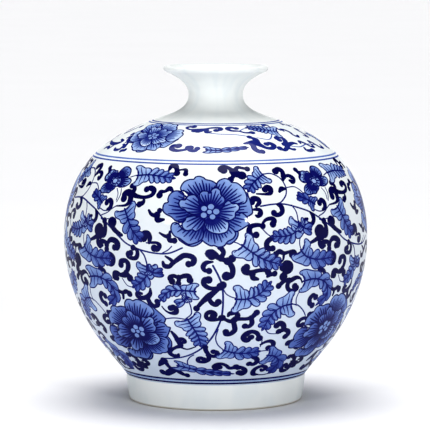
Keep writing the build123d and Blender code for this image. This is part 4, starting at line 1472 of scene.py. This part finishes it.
class GeometryTool:
    """A Geometry Nodes tree with named inputs, and the modifier that runs it."""

    def __init__(self, name: str) -> None:
        """Starts a tree with a geometry input and output.

        Args:
            name: name of the tree.
        """
        self.tree = bpy.data.node_groups.new(name, "GeometryNodeTree")
        self.tree.interface.new_socket("Geometry", in_out="INPUT", socket_type="NodeSocketGeometry")
        self.tree.interface.new_socket("Geometry", in_out="OUTPUT", socket_type="NodeSocketGeometry")
        self.nodes = NodeTree(self.tree)
        self.source: Optional[bpy.types.Node] = None

    def named_input(self, name: str, kind: str, value: Any) -> None:
        """Adds a named input before the tree's nodes are made.

        Args:
            name: name of the input.
            kind: type of its socket.
            value: its default, or None for no default.
        """
        socket = self.tree.interface.new_socket(name, in_out="INPUT", socket_type=kind)
        if value is not None:
            socket.default_value = value

    def begin(self) -> bpy.types.Node:
        """Adds the input node once every named input is there."""
        self.source = self.nodes.add("NodeGroupInput")
        return self.source

    def number(self, name: str) -> Value:
        """A named input as a value for expressions."""
        assert self.source is not None
        return Value(self.nodes, self.source.outputs[name])

    def end(self, geometry: bpy.types.NodeSocket) -> None:
        """Realizes the instances, sets the material and closes the tree.

        Args:
            geometry: what the tree hands out.
        """
        assert self.source is not None
        real = self.nodes.add("GeometryNodeRealizeInstances", inputs={"Geometry": geometry})
        dressed = self.nodes.add(
            "GeometryNodeSetMaterial",
            inputs={"Geometry": real.outputs[0], "Material": self.source.outputs["Material"]},
        )
        self.nodes.add("NodeGroupOutput", inputs={"Geometry": dressed.outputs[0]})

    def run(self, mesh: bpy.types.Mesh, **values: Any) -> bpy.types.Mesh:
        """Runs the tree over a mesh.

        Args:
            mesh: what the tree works on.
            values: the named inputs, with underscores for blanks.

        Returns:
            The result as a plain mesh.
        """
        holder = bpy.data.objects.new("workpiece", mesh)
        bpy.context.scene.collection.objects.link(holder)
        modifier = holder.modifiers.new("make", "NODES")
        modifier.node_group = self.tree
        sockets = {
            item.name: item.identifier
            for item in self.tree.interface.items_tree
            if item.item_type == "SOCKET" and item.in_out == "INPUT"
        }
        for name, value in values.items():
            modifier[sockets[name.replace("_", " ")]] = value
        graph = bpy.context.evaluated_depsgraph_get()
        made = bpy.data.meshes.new_from_object(
            holder.evaluated_get(graph), preserve_all_data_layers=True, depsgraph=graph
        )
        holder.modifiers.remove(modifier)
        bpy.data.objects.remove(holder)
        bpy.data.meshes.remove(mesh)
        return made


class RepeatRound(GeometryTool):
    """Repeats a painted sector round the axis of the vase."""

    def __init__(self) -> None:
        """Builds the tree."""
        super().__init__("repeat round the axis")
        self.named_input("Repeats", "NodeSocketInt", 4)
        self.named_input("Weld", "NodeSocketFloat", 2e-6)
        self.named_input("Material", "NodeSocketMaterial", None)
        source = self.begin()
        add = self.nodes.add
        seeds = add("GeometryNodePoints", inputs={"Count": source.outputs["Repeats"]})
        index = Value(self.nodes, add("GeometryNodeInputIndex").outputs[0])
        turn = index * (2 * math.pi) / self.number("Repeats")
        spin = add("ShaderNodeCombineXYZ", inputs={"Z": turn})
        euler = add("FunctionNodeEulerToRotation", inputs={0: spin.outputs[0]})
        laid = add(
            "GeometryNodeInstanceOnPoints",
            inputs={
                "Points": seeds.outputs[0],
                "Instance": source.outputs["Geometry"],
                "Rotation": euler.outputs[0],
            },
        )
        real = add("GeometryNodeRealizeInstances", inputs={"Geometry": laid.outputs[0]})
        welded = add(
            "GeometryNodeMergeByDistance",
            inputs={"Geometry": real.outputs[0], "Distance": source.outputs["Weld"]},
        )
        self.end(welded.outputs[0])


class TurnedSection(GeometryTool):
    """Turns a profile round the axis, as on a potter's wheel."""

    def __init__(self) -> None:
        """Builds the tree. The profile is a row of points whose x is the radius and z the height."""
        super().__init__("turned section")
        self.named_input("Profile Points", "NodeSocketInt", 2)
        self.named_input("Steps Round", "NodeSocketInt", STEPS_ROUND)
        self.named_input("Chart Height", "NodeSocketFloat", 0.06)
        self.named_input("Chart Base", "NodeSocketFloat", 0.005)
        self.named_input("Material", "NodeSocketMaterial", None)
        source = self.begin()
        add = self.nodes.add
        count, steps = self.number("Profile Points"), self.number("Steps Round")
        grid = add("GeometryNodeMeshGrid", inputs={"Vertices X": count, "Vertices Y": steps + 1.0})
        index = Value(self.nodes, add("GeometryNodeInputIndex").outputs[0])
        along = ((index + 0.5) / (steps + 1.0)).floor()
        around = index - along * (steps + 1.0)
        turn = around * (2 * math.pi) / steps

        def sampled(name: str) -> Value:
            """Reads a named value of the profile at the point in hand.

            Args:
                name: name of the attribute.

            Returns:
                The value.
            """
            field_ = add("GeometryNodeInputNamedAttribute", {"data_type": "FLOAT"}, {"Name": name})
            node = add(
                "GeometryNodeSampleIndex",
                {"data_type": "FLOAT", "domain": "POINT", "clamp": True},
                {"Geometry": source.outputs["Geometry"], "Value": field_.outputs[0], "Index": along},
            )
            return Value(self.nodes, node.outputs[0])

        radius, height = sampled("radius"), sampled("height")
        place = add(
            "ShaderNodeCombineXYZ",
            inputs={"X": radius * turn.sine(), "Y": radius * turn.cosine() * -1.0, "Z": height},
        )
        shape: bpy.types.NodeSocket = grid.outputs["Mesh"]
        chart = add(
            "ShaderNodeCombineXYZ",
            inputs={
                "X": around / steps * 0.98 + 0.01,
                "Y": along / (count - 1.0) * self.number("Chart Height") + self.number("Chart Base"),
            },
        )
        for name, kind, field_socket in (
            ("heading", "FLOAT", sampled("heading").socket),
            ("glaze", "FLOAT", sampled("glaze").socket),
            (BAKE_MAP, "FLOAT2", chart.outputs[0]),
        ):
            point = add(
                "GeometryNodeFieldOnDomain",
                {"data_type": "FLOAT_VECTOR" if kind == "FLOAT2" else "FLOAT", "domain": "POINT"},
                {0: field_socket},
            )
            stored = add(
                "GeometryNodeStoreNamedAttribute",
                {"data_type": kind, "domain": "CORNER"},
                {"Geometry": shape, "Name": name, "Value": point.outputs[0]},
            )
            shape = stored.outputs[0]
        bent = add("GeometryNodeSetPosition", inputs={"Geometry": shape, "Position": place.outputs[0]})
        self.end(bent.outputs[0])


def profile_mesh(rows: np.ndarray) -> bpy.types.Mesh:
    """Makes the point row that the turning tree samples.

    Args:
        rows: radius, height, heading and glaze, in millimetres and degrees.

    Returns:
        A mesh of points with those values.
    """
    mesh = bpy.data.meshes.new("profile")
    mesh.from_pydata([(r * MM, 0.0, z * MM) for r, z in rows[:, :2]], [], [])
    scaled = rows * [MM, MM, 1.0, 1.0]
    for name, values in zip(("radius", "height", "heading", "glaze"), scaled.T):
        mesh.attributes.new(name, "FLOAT", "POINT").data.foreach_set("value", values.astype(np.float32))
    return mesh


def joined(name: str, meshes: Sequence[bpy.types.Mesh]) -> bpy.types.Mesh:
    """Joins closed-up meshes into one, welds their shared rims and points the faces outwards.

    Args:
        name: name of the new mesh.
        meshes: its parts, which are used up.

    Returns:
        The closed mesh, with smooth shading that follows each corner's heading.
    """
    shape = bmesh.new()
    for mesh in meshes:
        for label in ("ink", "heading", "glaze"):
            if label not in mesh.attributes:
                mesh.attributes.new(label, "FLOAT", "CORNER")
        shape.from_mesh(mesh)
        bpy.data.meshes.remove(mesh)
    bmesh.ops.remove_doubles(shape, verts=shape.verts, dist=3e-6)
    bmesh.ops.dissolve_degenerate(shape, edges=shape.edges, dist=1e-7)
    close_rims(shape)
    bmesh.ops.recalc_face_normals(shape, faces=shape.faces)
    whole = bpy.data.meshes.new(name)
    shape.to_mesh(whole)
    shape.free()
    open_edges = edges_open(whole)
    if open_edges:
        LOG.warning("%s has %d open edges", name, open_edges)
    smooth_by_heading(whole)
    return whole


def close_rims(shape: bmesh.types.BMesh) -> None:
    """Closes the slits where a finely cut rim meets a regular one at the same place.

    Args:
        shape: the mesh being edited.
    """
    rims = [e for e in shape.edges if len(e.link_faces) == 1]
    if not rims:
        return
    LOG.info("closing slits along %d edges", len(rims))
    filled = bmesh.ops.holes_fill(shape, edges=rims, sides=0)["faces"]
    heading = shape.loops.layers.float["heading"]
    for face in filled:
        for loop in face.loops:
            beside = [o[heading] for o in loop.vert.link_loops if o.face not in filled]
            loop[heading] = sum(beside[:1])


def edges_open(mesh: bpy.types.Mesh) -> int:
    """Counts the edges that don't have two faces.

    Args:
        mesh: the mesh to look at.

    Returns:
        How many edges have only one face.
    """
    edge_of = np.zeros(len(mesh.loops), np.int32)
    mesh.loops.foreach_get("edge_index", edge_of)
    return int((np.bincount(edge_of, minlength=len(mesh.edges)) != 2).sum())


def smooth_by_heading(mesh: bpy.types.Mesh) -> None:
    """Gives each face corner the exact normal of the turned surface that it lies on.

    Args:
        mesh: the mesh to shade.
    """
    count = len(mesh.loops)
    heading = np.zeros(count)
    mesh.attributes["heading"].data.foreach_get("value", heading)
    verts = np.zeros(count, np.int32)
    mesh.loops.foreach_get("vertex_index", verts)
    places = np.zeros(len(mesh.vertices) * 3)
    mesh.vertices.foreach_get("co", places)
    places = places.reshape(-1, 3)[verts]
    out = places[:, :2] / np.maximum(np.linalg.norm(places[:, :2], axis=1, keepdims=True), 1e-9)
    h = np.radians(heading)
    normal = np.column_stack([out * np.sin(h)[:, None], -np.cos(h)])
    mesh.polygons.foreach_set("use_smooth", np.ones(len(mesh.polygons), bool))
    mesh.normals_split_custom_set(normal.tolist())


# ---------------------------------------------------------------- finishes


def srgb(red: float, green: float, blue: float) -> tuple[float, float, float, float]:
    """Turns a screen colour of 0 to 255 into the linear colour that the nodes take.

    Args:
        red: 0 to 255.
        green: 0 to 255.
        blue: 0 to 255.

    Returns:
        The linear colour with full alpha.
    """
    parts = [c / 255.0 for c in (red, green, blue)]
    linear = [c / 12.92 if c <= 0.04045 else ((c + 0.055) / 1.055) ** 2.4 for c in parts]
    return (linear[0], linear[1], linear[2], 1.0)


class Palette:
    """Nodes that most finishes share."""

    def __init__(self, name: str) -> None:
        """Starts a material with a shader and its output.

        Args:
            name: name of the material.
        """
        self.material = bpy.data.materials.new(name)
        self.material.use_nodes = True
        self.material.node_tree.nodes.clear()
        self.nodes = NodeTree(self.material.node_tree)

    def shader(self, **sockets: Any) -> bpy.types.Material:
        """Adds the shader with its sockets, named with underscores for blanks, and the output.

        Args:
            sockets: value of each socket that is not left at its default.

        Returns:
            The material.
        """
        named = {key.replace("_", " "): value for key, value in sockets.items()}
        body = self.nodes.add("ShaderNodeBsdfPrincipled", inputs=named)
        self.nodes.add("ShaderNodeOutputMaterial", inputs={"Surface": body.outputs[0]})
        return self.material

    def attribute(self, name: str) -> Value:
        """A number that the mesh carries."""
        node = self.nodes.add("ShaderNodeAttribute", {"attribute_name": name})
        return Value(self.nodes, node.outputs["Fac"])

    def place(self) -> bpy.types.Node:
        """Object coordinates, split into x, y and z."""
        where = self.nodes.add("ShaderNodeTexCoord")
        return self.nodes.add("ShaderNodeSeparateXYZ", inputs={0: where.outputs["Object"]})

    def noise(
        self, vector: bpy.types.NodeSocket, scale: float, detail: float = 2.0, rough: float = 0.5
    ) -> Value:
        """Smooth noise, mostly between 0.3 and 0.7.

        Args:
            vector: where the noise is looked up.
            scale: how fine it is.
            detail: how many octaves it has.
            rough: how strong the finer octaves are.

        Returns:
            The noise.
        """
        node = self.nodes.add(
            "ShaderNodeTexNoise",
            inputs={"Vector": vector, "Scale": scale, "Detail": detail, "Roughness": rough},
        )
        return Value(self.nodes, node.outputs[0])

    def round_vector(self, metres: float) -> bpy.types.NodeSocket:
        """Gives a vector that repeats NOISE_REPEATS times round the axis.

        Args:
            metres: radius of the ring that it runs on.

        Returns:
            The vector.
        """
        xyz = self.place()
        x, y, z = (Value(self.nodes, xyz.outputs[k]) for k in range(3))
        turn = x.math("ARCTAN2", y * -1.0) * float(NOISE_REPEATS)
        wrapped = self.nodes.add(
            "ShaderNodeCombineXYZ", inputs={"X": turn.cosine() * metres, "Y": turn.sine() * metres, "Z": z}
        )
        return wrapped.outputs[0]

    def mix(self, share: Any, first: Any, second: Any) -> bpy.types.NodeSocket:
        """Mixes two colours."""
        node = self.nodes.add("ShaderNodeMix", {"data_type": "RGBA"}, {0: share, 6: first, 7: second})
        return node.outputs[2]

    def bump(self, height: Value, strength: float, distance: float) -> bpy.types.NodeSocket:
        """Turns a height into a normal.

        Args:
            height: the height of the surface.
            strength: how much of it shows, from 0 to 1.
            distance: metres that a height of 1 stands for.

        Returns:
            The normal.
        """
        node = self.nodes.add(
            "ShaderNodeBump", inputs={"Strength": strength, "Distance": distance, "Height": height}
        )
        return node.outputs[0]


@dataclass(frozen=True)
class PorcelainGlaze:
    """Clear glossy glaze over white porcelain, with cobalt under it where the mesh carries ink, and painted
    shade low on the painted sections.
    """

    name: str
    painted: bool
    ground: tuple[float, float, float, float] = srgb(232, 236, 235)
    pooled: tuple[float, float, float, float] = srgb(214, 223, 226)
    # Bluish grey of the painted ground: a faint cobalt haze all over, plus painted shade that deepens towards
    # the bottom.
    cobalt_haze_and_low_shade: tuple[float, float, float, float] = srgb(188, 201, 222)
    bare: tuple[float, float, float, float] = srgb(168, 158, 142)
    inks: tuple[tuple[float, tuple[float, float, float, float]], ...] = (
        (0.1, srgb(180, 199, 228)),
        (0.3, srgb(134, 159, 208)),
        (0.52, srgb(90, 114, 180)),
        (0.74, srgb(52, 70, 148)),
        (0.88, srgb(19, 23, 102)),
        (1.0, srgb(6, 5, 60)),
    )
    gloss: float = 0.05
    shine: float = 0.38
    coat_index: float = 1.32
    ring: float = 0.022
    cloud_scale: float = 38.0
    grain_scale: float = 260.0
    ripple_scale: float = 55.0
    orange_peel_scale: float = 210.0
    polish_scale: float = 90.0
    ripple_depth: float = 0.0006

    def make(self) -> bpy.types.Material:
        """Builds the material.

        Returns:
            The material.
        """
        paint = Palette(self.name)
        round_ = paint.round_vector(self.ring)
        cloud = paint.noise(round_, self.cloud_scale, 2.0)
        grain = paint.noise(round_, self.grain_scale, 3.0, 0.62)
        ground = paint.mix(cloud.step(0.42, 0.72) * 0.4, self.ground, self.pooled)
        colour = ground
        if self.painted:
            ink = paint.attribute("ink")
            # Painted shade: the painted ground turns bluish grey towards the bottom, standing in for less
            # light there; a small share of the tint stays all over as cobalt haze.
            height = Value(paint.nodes, paint.place().outputs[2])
            low = 1.0 - height.step(0.02, 0.18)
            ground = paint.mix(low * 0.75 + 0.08, ground, self.cobalt_haze_and_low_shade)
            laid = ink.step(0.04, 0.1)
            mottled = ink + (grain - 0.5) * 0.34 * laid * (1.06 - ink) + (cloud - 0.5) * 0.12 * laid
            ramp = paint.nodes.add("ShaderNodeValToRGB", {"stops": self.inks}, {"Fac": mottled})
            colour = paint.mix(laid, ground, ramp.outputs[0])
        glaze = paint.attribute("glaze")
        colour = paint.mix(glaze, self.bare, colour)
        where = paint.nodes.add("ShaderNodeTexCoord").outputs["Object"]
        ripple = paint.noise(where, self.ripple_scale, 1.0, 0.4)
        ripple = ripple + paint.noise(where, self.orange_peel_scale, 2.0) * 0.12
        return paint.shader(
            Base_Color=colour,
            Roughness=0.62 - glaze * 0.3 + (paint.noise(where, self.polish_scale) - 0.5) * 0.12,
            Coat_Weight=glaze.step(0.3, 0.9) * self.shine,
            Coat_Roughness=self.gloss,
            Coat_IOR=self.coat_index,
            Specular_IOR_Level=0.0,
            Normal=paint.bump(ripple, 0.35, self.ripple_depth),
        )


@dataclass(frozen=True)
class FiredSlip:
    """Bare fired porcelain slip, matt and slightly grainy."""

    name: str = "fired_slip_body"
    pale: tuple[float, float, float, float] = srgb(214, 208, 196)
    warm: tuple[float, float, float, float] = srgb(190, 180, 162)

    def make(self) -> bpy.types.Material:
        """Builds the material.

        Returns:
            The material.
        """
        paint = Palette(self.name)
        where = paint.nodes.add("ShaderNodeTexCoord").outputs["Object"]
        grain = paint.noise(where, 900.0, 4.0)
        colour = paint.mix(paint.noise(where, 60.0).step(0.35, 0.65), self.pale, self.warm)
        return paint.shader(
            Base_Color=colour, Roughness=0.72 + (grain - 0.5) * 0.2, Normal=paint.bump(grain, 0.5, 0.0004)
        )


# ---------------------------------------------------------------- the vase


@dataclass
class Section:
    """One thrown section of the vase, as a finished piece."""

    part: Part
    sizes: VaseSizes
    turning: TurnedSection
    steps: int = 22

    def turned(self, rows: np.ndarray, base: float = 0.005, height: float = 0.06) -> bpy.types.Mesh:
        """Turns a profile round the axis.

        Args:
            rows: radius, height, heading and glaze.
            base: where its strip of the bake map starts.
            height: how high that strip is.

        Returns:
            The turned mesh.
        """
        return self.turning.run(
            profile_mesh(rows), Profile_Points=len(rows), Chart_Height=height, Chart_Base=base
        )

    def profiles(self) -> list[tuple[np.ndarray, float, float]]:
        """The turned profiles, each with its place in the bake map."""
        raise NotImplementedError

    def painted(self) -> list[bpy.types.Mesh]:
        """The painted surfaces of the section, if it has any."""
        return []

    def build(self, finish: bpy.types.Material) -> bpy.types.Object:
        """Makes the piece, dresses it and hangs it on the CAD body.

        Args:
            finish: its material.

        Returns:
            The finished object.
        """
        name, node, slot = self.part.value
        meshes = [self.turned(*profile) for profile in self.profiles()] + self.painted()
        mesh = joined(name, meshes)
        mesh.materials.clear()
        mesh.materials.append(finish)
        piece = bpy.data.objects.new(name, mesh)
        bpy.context.scene.collection.objects.link(piece)
        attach(piece, "root")
        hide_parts(node)
        LOG.info("%s: %d faces", name, len(mesh.polygons))
        return piece


@dataclass
class FootRing(Section):
    """The straight foot ring that the vase stands on."""

    swell_rows: int = 13
    clear: float = 0.1
    glazed: float = 0.85
    bare: float = 0.1
    edge_rows: int = 7

    def profiles(self) -> list[tuple[np.ndarray, float, float]]:
        """Outside, joint, inner wall and the bare rounded standing edge.

        Returns:
            One profile with the place and height of its strip of the bake map.
        """
        s, edge = self.sizes, self.sizes.foot_edge
        joint = s.joints[0]
        rise = np.linspace(0.0, 1.0, self.swell_rows)[:, None]
        ends = (s.foot_radius_at_table, 0.0), (s.foot_radius, s.foot_height)
        a, b, c, d = np.array([ends[0], *s.foot_swell, ends[1]])
        fall = 1 - rise
        place = fall**3 * a + 3 * fall**2 * rise * b + 3 * fall * rise**2 * c + rise**3 * d
        slope = np.gradient(place, axis=0)
        heading = np.degrees(np.arctan2(slope[:, 1], slope[:, 0]))
        heading[-1] = UP
        outside = np.column_stack([place, heading, np.ones(self.swell_rows)])
        start = np.array([np.interp(edge, outside[:, 1], outside[:, k]) for k in range(4)])
        outside = np.vstack([start, outside[outside[:, 1] > edge + self.clear]])
        wall = straight(joint.rebate())
        inner_foot = s.foot_radius_at_table - s.foot_wall_at_table
        top = joint.at(joint.wall, joint.step + joint.film)
        inner = straight([top, (inner_foot, edge)], 1.0)
        underside = self._edge(inner_foot + edge, edge, 270.0, (self.glazed, self.bare))
        outer = self._edge(float(start[0]) - edge, edge, 0.0, (self.bare, self.glazed))
        rows = np.vstack([outside, wall, inner, underside, outer, outside[:1]])
        return [(rows, 0.01, 0.98)]

    def _edge(self, centre: float, size: float, start: float, glaze: tuple[float, float]) -> np.ndarray:
        """Quarter round at the standing edge, whose glaze runs from one value to the other.

        Args:
            centre: radius at which the round is centred.
            size: its radius.
            start: its first heading, in degrees.
            glaze: glaze at its start and at its end.

        Returns:
            Rows of radius, height, heading and glaze.
        """
        turn = np.linspace(start, start + 90.0, self.edge_rows)
        normal = np.radians(turn - 90.0)
        return np.column_stack(
            [
                centre + size * np.cos(normal),
                size + size * np.sin(normal),
                turn,
                np.linspace(glaze[0], glaze[1], self.edge_rows) ** 2,
            ]
        )


@dataclass
class Body(Section):
    """A painted section of the body."""

    tiles: tuple[PaintedTile, ...] = ()
    repeater: Optional[RepeatRound] = None
    low: float = 0.0
    high: float = 0.0

    def painted(self) -> list[bpy.types.Mesh]:
        """The painted outside, repeated round the axis.

        Returns:
            One mesh for each tile.
        """
        assert self.repeater is not None
        return [
            self.repeater.run(
                tile.loose(self.low, self.high).to_mesh("sector"),
                Repeats=round(180.0 / tile.half),
            )
            for tile in self.tiles
        ]


@dataclass
class LowerBelly(Body):
    """The lower half of the body, with its floor and the boss that sits in the foot ring."""

    def profiles(self) -> list[tuple[np.ndarray, float, float]]:
        """Belly joint, inner wall and floor; then the boss and the foot joint.

        Returns:
            Two profiles, each with the place and height of its strip of the bake map.
        """
        s = self.sizes
        foot, belly, _ = s.joints
        body = s.body_stations
        floor = foot.at(0.0, foot.step)[1] + s.floor_thickness
        rim = Station(s.foot_radius * s.floor_flat_share, floor, INWARD)
        inside = smooth(
            [
                belly.inner(belly.step).turned_back(),
                body[1].inside(s.hip_wall).turned_back(),
                body[0].inside(s.floor_corner_wall).turned_back(),
                rim,
            ],
            self.steps,
        )
        upper = np.vstack([straight(belly.tongue()), inside, straight([(rim.radius, floor), (0.0, floor)])])
        boss = foot.tongue()[:3]
        lower = straight([(0.0, boss[2][1])] + boss[::-1])
        return [(upper, 0.005, 0.05), (lower, 0.06, 0.02)]


@dataclass
class Shoulder(Body):
    """The upper half of the body, up to the root of the neck."""

    def profiles(self) -> list[tuple[np.ndarray, float, float]]:
        """Neck joint, inner wall and belly joint.

        Returns:
            One profile with the place and height of its strip of the bake map.
        """
        _, belly, neck = self.sizes.joints
        body = self.sizes.body_stations
        inside = smooth(
            [
                neck.inner(neck.step).turned_back(),
                body[3].inside(self.sizes.shoulder_wall).turned_back(),
                belly.inner(belly.step + belly.film).turned_back(),
            ],
            self.steps,
        )
        return [(np.vstack([straight(neck.tongue()), inside, straight(belly.rebate()[::-1])]), 0.005, 0.06)]


@dataclass
class NeckAndMouth(Section):
    """The short neck and the flared mouth with its rounded lip."""

    outer_steps: int = 30
    lip_steps: int = 9

    def profiles(self) -> list[tuple[np.ndarray, float, float]]:
        """Outside, lip, inner wall and neck joint.

        Returns:
            One profile with the place and height of its strip of the bake map.
        """
        s = self.sizes
        joint, top, half = s.joints[2], s.mouth_height, s.lip_thickness / 2
        flare = Station(s.lip_radius - half, top - s.lip_thickness, s.lip_underside_heading)
        lip = [Station(s.lip_radius, top - half, UP), Station(s.lip_radius - half, top, INWARD)]
        end = math.radians(s.lip_top_heading)
        inner = s.lip_radius - s.lip_thickness
        hollow = Station(inner + half * math.cos(end), top + half * math.sin(end), s.lip_top_heading)
        outside = smooth([s.body_stations[4], s.waist, flare], self.outer_steps)
        over = smooth([flare] + lip, self.lip_steps)[1:]
        inside = smooth(
            [
                lip[1],
                hollow,
                s.waist.inside(s.waist_wall).turned_back(),
                joint.inner(joint.step + joint.film).turned_back(),
            ],
            self.steps,
        )[1:]
        return [(np.vstack([outside, over, inside, straight(joint.rebate()[::-1])]), 0.01, 0.98)]


# ---------------------------------------------------------------- studio


@dataclass(frozen=True)
class SoftLight:
    """A soft box: where it stands, how large it is, and how bright."""

    name: str
    place: tuple[float, float, float]
    size: tuple[float, float]
    watts: float
    aim: tuple[float, float, float] = (0.0, 0.0, 0.11)

    def hang(self) -> None:
        """Adds the light, facing its aim."""
        data = bpy.data.lights.new(self.name, "AREA")
        data.shape = "RECTANGLE"
        data.size, data.size_y = self.size
        data.energy = self.watts
        lamp = bpy.data.objects.new(self.name, data)
        lamp.location = self.place
        away = Vector(self.aim) - Vector(self.place)
        lamp.rotation_euler = away.to_track_quat("-Z", "Y").to_euler()
        bpy.context.scene.collection.objects.link(lamp)


@dataclass(frozen=True)
class Studio:
    """Pale sweep, soft boxes and the camera."""

    eye: tuple[float, float, float] = (0.0, -1.848, 0.2996)
    aim: tuple[float, float, float] = (0.0, 0.0, 0.1214)
    lens: float = 235.5
    shift: float = -0.0016
    sensor: float = 36.0
    far_clip: float = 200.0
    ceiling: float = 2.74
    ceiling_spread: float = 50.0
    ceiling_lean: float = -6.0
    horizon: tuple[float, float, float] = (0.0, 0.1, 0.16)
    glow: tuple[float, float, float, float] = (0.97, 0.97, 0.98, 1.0)
    dusk: tuple[float, float, float, float] = (0.05, 0.05, 0.055, 1.0)
    floor_reach: float = 30.0
    lights: tuple[SoftLight, ...] = (
        SoftLight("left_box", (-0.95, -1.35, 0.60), (0.16, 0.12), 5.2),
        SoftLight("right_box", (0.69, -1.45, 0.63), (0.2, 0.12), 7.4),
    )

    def open(self) -> None:
        """Sets up the camera, the floor, the world and the lights."""
        scene = bpy.context.scene
        data = bpy.data.cameras.new("camera")
        data.lens, data.sensor_width, data.shift_x = self.lens, self.sensor, self.shift
        data.clip_end = self.far_clip
        camera = bpy.data.objects.new("camera", data)
        camera.location = self.eye
        camera.rotation_euler = (Vector(self.aim) - Vector(self.eye)).to_track_quat("-Z", "Y").to_euler()
        scene.collection.objects.link(camera)
        scene.camera = camera
        scene.view_settings.view_transform = "Standard"
        scene.view_settings.look = "Medium High Contrast"
        world = bpy.data.worlds.new("studio")
        world.use_nodes = True
        world.node_tree.nodes.clear()
        sky = NodeTree(world.node_tree)
        where = sky.add("ShaderNodeTexCoord")
        split = sky.add("ShaderNodeSeparateXYZ", None, {0: where.outputs["Generated"]})
        stops = tuple(zip(self.horizon, (self.glow, self.glow, self.dusk)))
        ramp = sky.add("ShaderNodeValToRGB", {"stops": stops}, {"Fac": split.outputs["Z"]})
        light = sky.add("ShaderNodeBackground", None, {"Color": ramp.outputs[0]})
        sky.add("ShaderNodeOutputWorld", None, {"Surface": light.outputs[0]})
        scene.world = world
        data = bpy.data.lights.new("ceiling", "SUN")
        data.energy, data.angle = self.ceiling, math.radians(self.ceiling_spread)
        ceiling = bpy.data.objects.new("ceiling", data)
        ceiling.rotation_euler = (math.radians(self.ceiling_lean), 0.0, 0.0)
        scene.collection.objects.link(ceiling)
        for lamp in self.lights:
            lamp.hang()
        self._floor()

    def _floor(self) -> None:
        """Lays a wide pale floor just under the foot."""
        mesh = bpy.data.meshes.new("floor")
        far = self.floor_reach
        mesh.from_pydata([(-far, -far, 0), (far, -far, 0), (far, far, 0), (-far, far, 0)], [], [(0, 1, 2, 3)])
        paint = Palette("pale_floor")
        where = paint.nodes.add("ShaderNodeTexCoord").outputs["Object"]
        cloud = paint.noise(where, 3.0)
        mesh.materials.append(
            paint.shader(
                Base_Color=paint.mix(cloud, srgb(243, 243, 244), srgb(246, 246, 247)),
                Roughness=0.7,
            )
        )
        floor = bpy.data.objects.new("floor", mesh)
        bpy.context.scene.collection.objects.link(floor)


def main() -> None:
    """Builds the studio and the vase, section by section."""
    logging.basicConfig(level=logging.INFO, format="%(name)s: %(message)s")
    Studio().open()
    sizes = VaseSizes.from_frame()
    outline = BodyOutline(sizes)
    body, band = Painter(outline, BODY_HALF), Painter(outline, SHOULDER_HALF)
    FlowerScroll(body).paint_body()
    FlowerScroll(band).paint_shoulder()
    tile = PaintedTile(outline, body, 0.0, SHOULDER_LINE)
    shoulder = PaintedTile(outline, band, SHOULDER_LINE, outline.length)
    for name, cut in (("body", tile), ("shoulder", shoulder)):
        LOG.info("painted %s: %d patches, %d triangles", name, len(cut.patches), len(cut.faces))
    turning, repeater = TurnedSection(), RepeatRound()
    white = PorcelainGlaze("white_porcelain_glaze", False).make()
    painted = PorcelainGlaze("painted_porcelain_glaze", True).make()
    slip = FiredSlip().make()
    FootRing(Part.FOOT, sizes, turning).build(white)
    lower_reach = {"low": 0.0, "high": outline.belly}
    upper_reach = {"low": outline.belly, "high": outline.length}
    LowerBelly(Part.LOWER, sizes, turning, tiles=(tile,), repeater=repeater, **lower_reach).build(painted)
    upper_tiles = (tile, shoulder)
    Shoulder(Part.UPPER, sizes, turning, tiles=upper_tiles, repeater=repeater, **upper_reach).build(painted)
    NeckAndMouth(Part.NECK, sizes, turning).build(white)
    for name in ("foot_slip_seam", "belly_slip_seam", "neck_slip_seam"):
        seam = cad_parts[name]
        seam.data.materials.clear()
        seam.data.materials.append(slip)
        LOG.info("%s: bare fired slip", name)


if __name__ == "__main__":
    main()
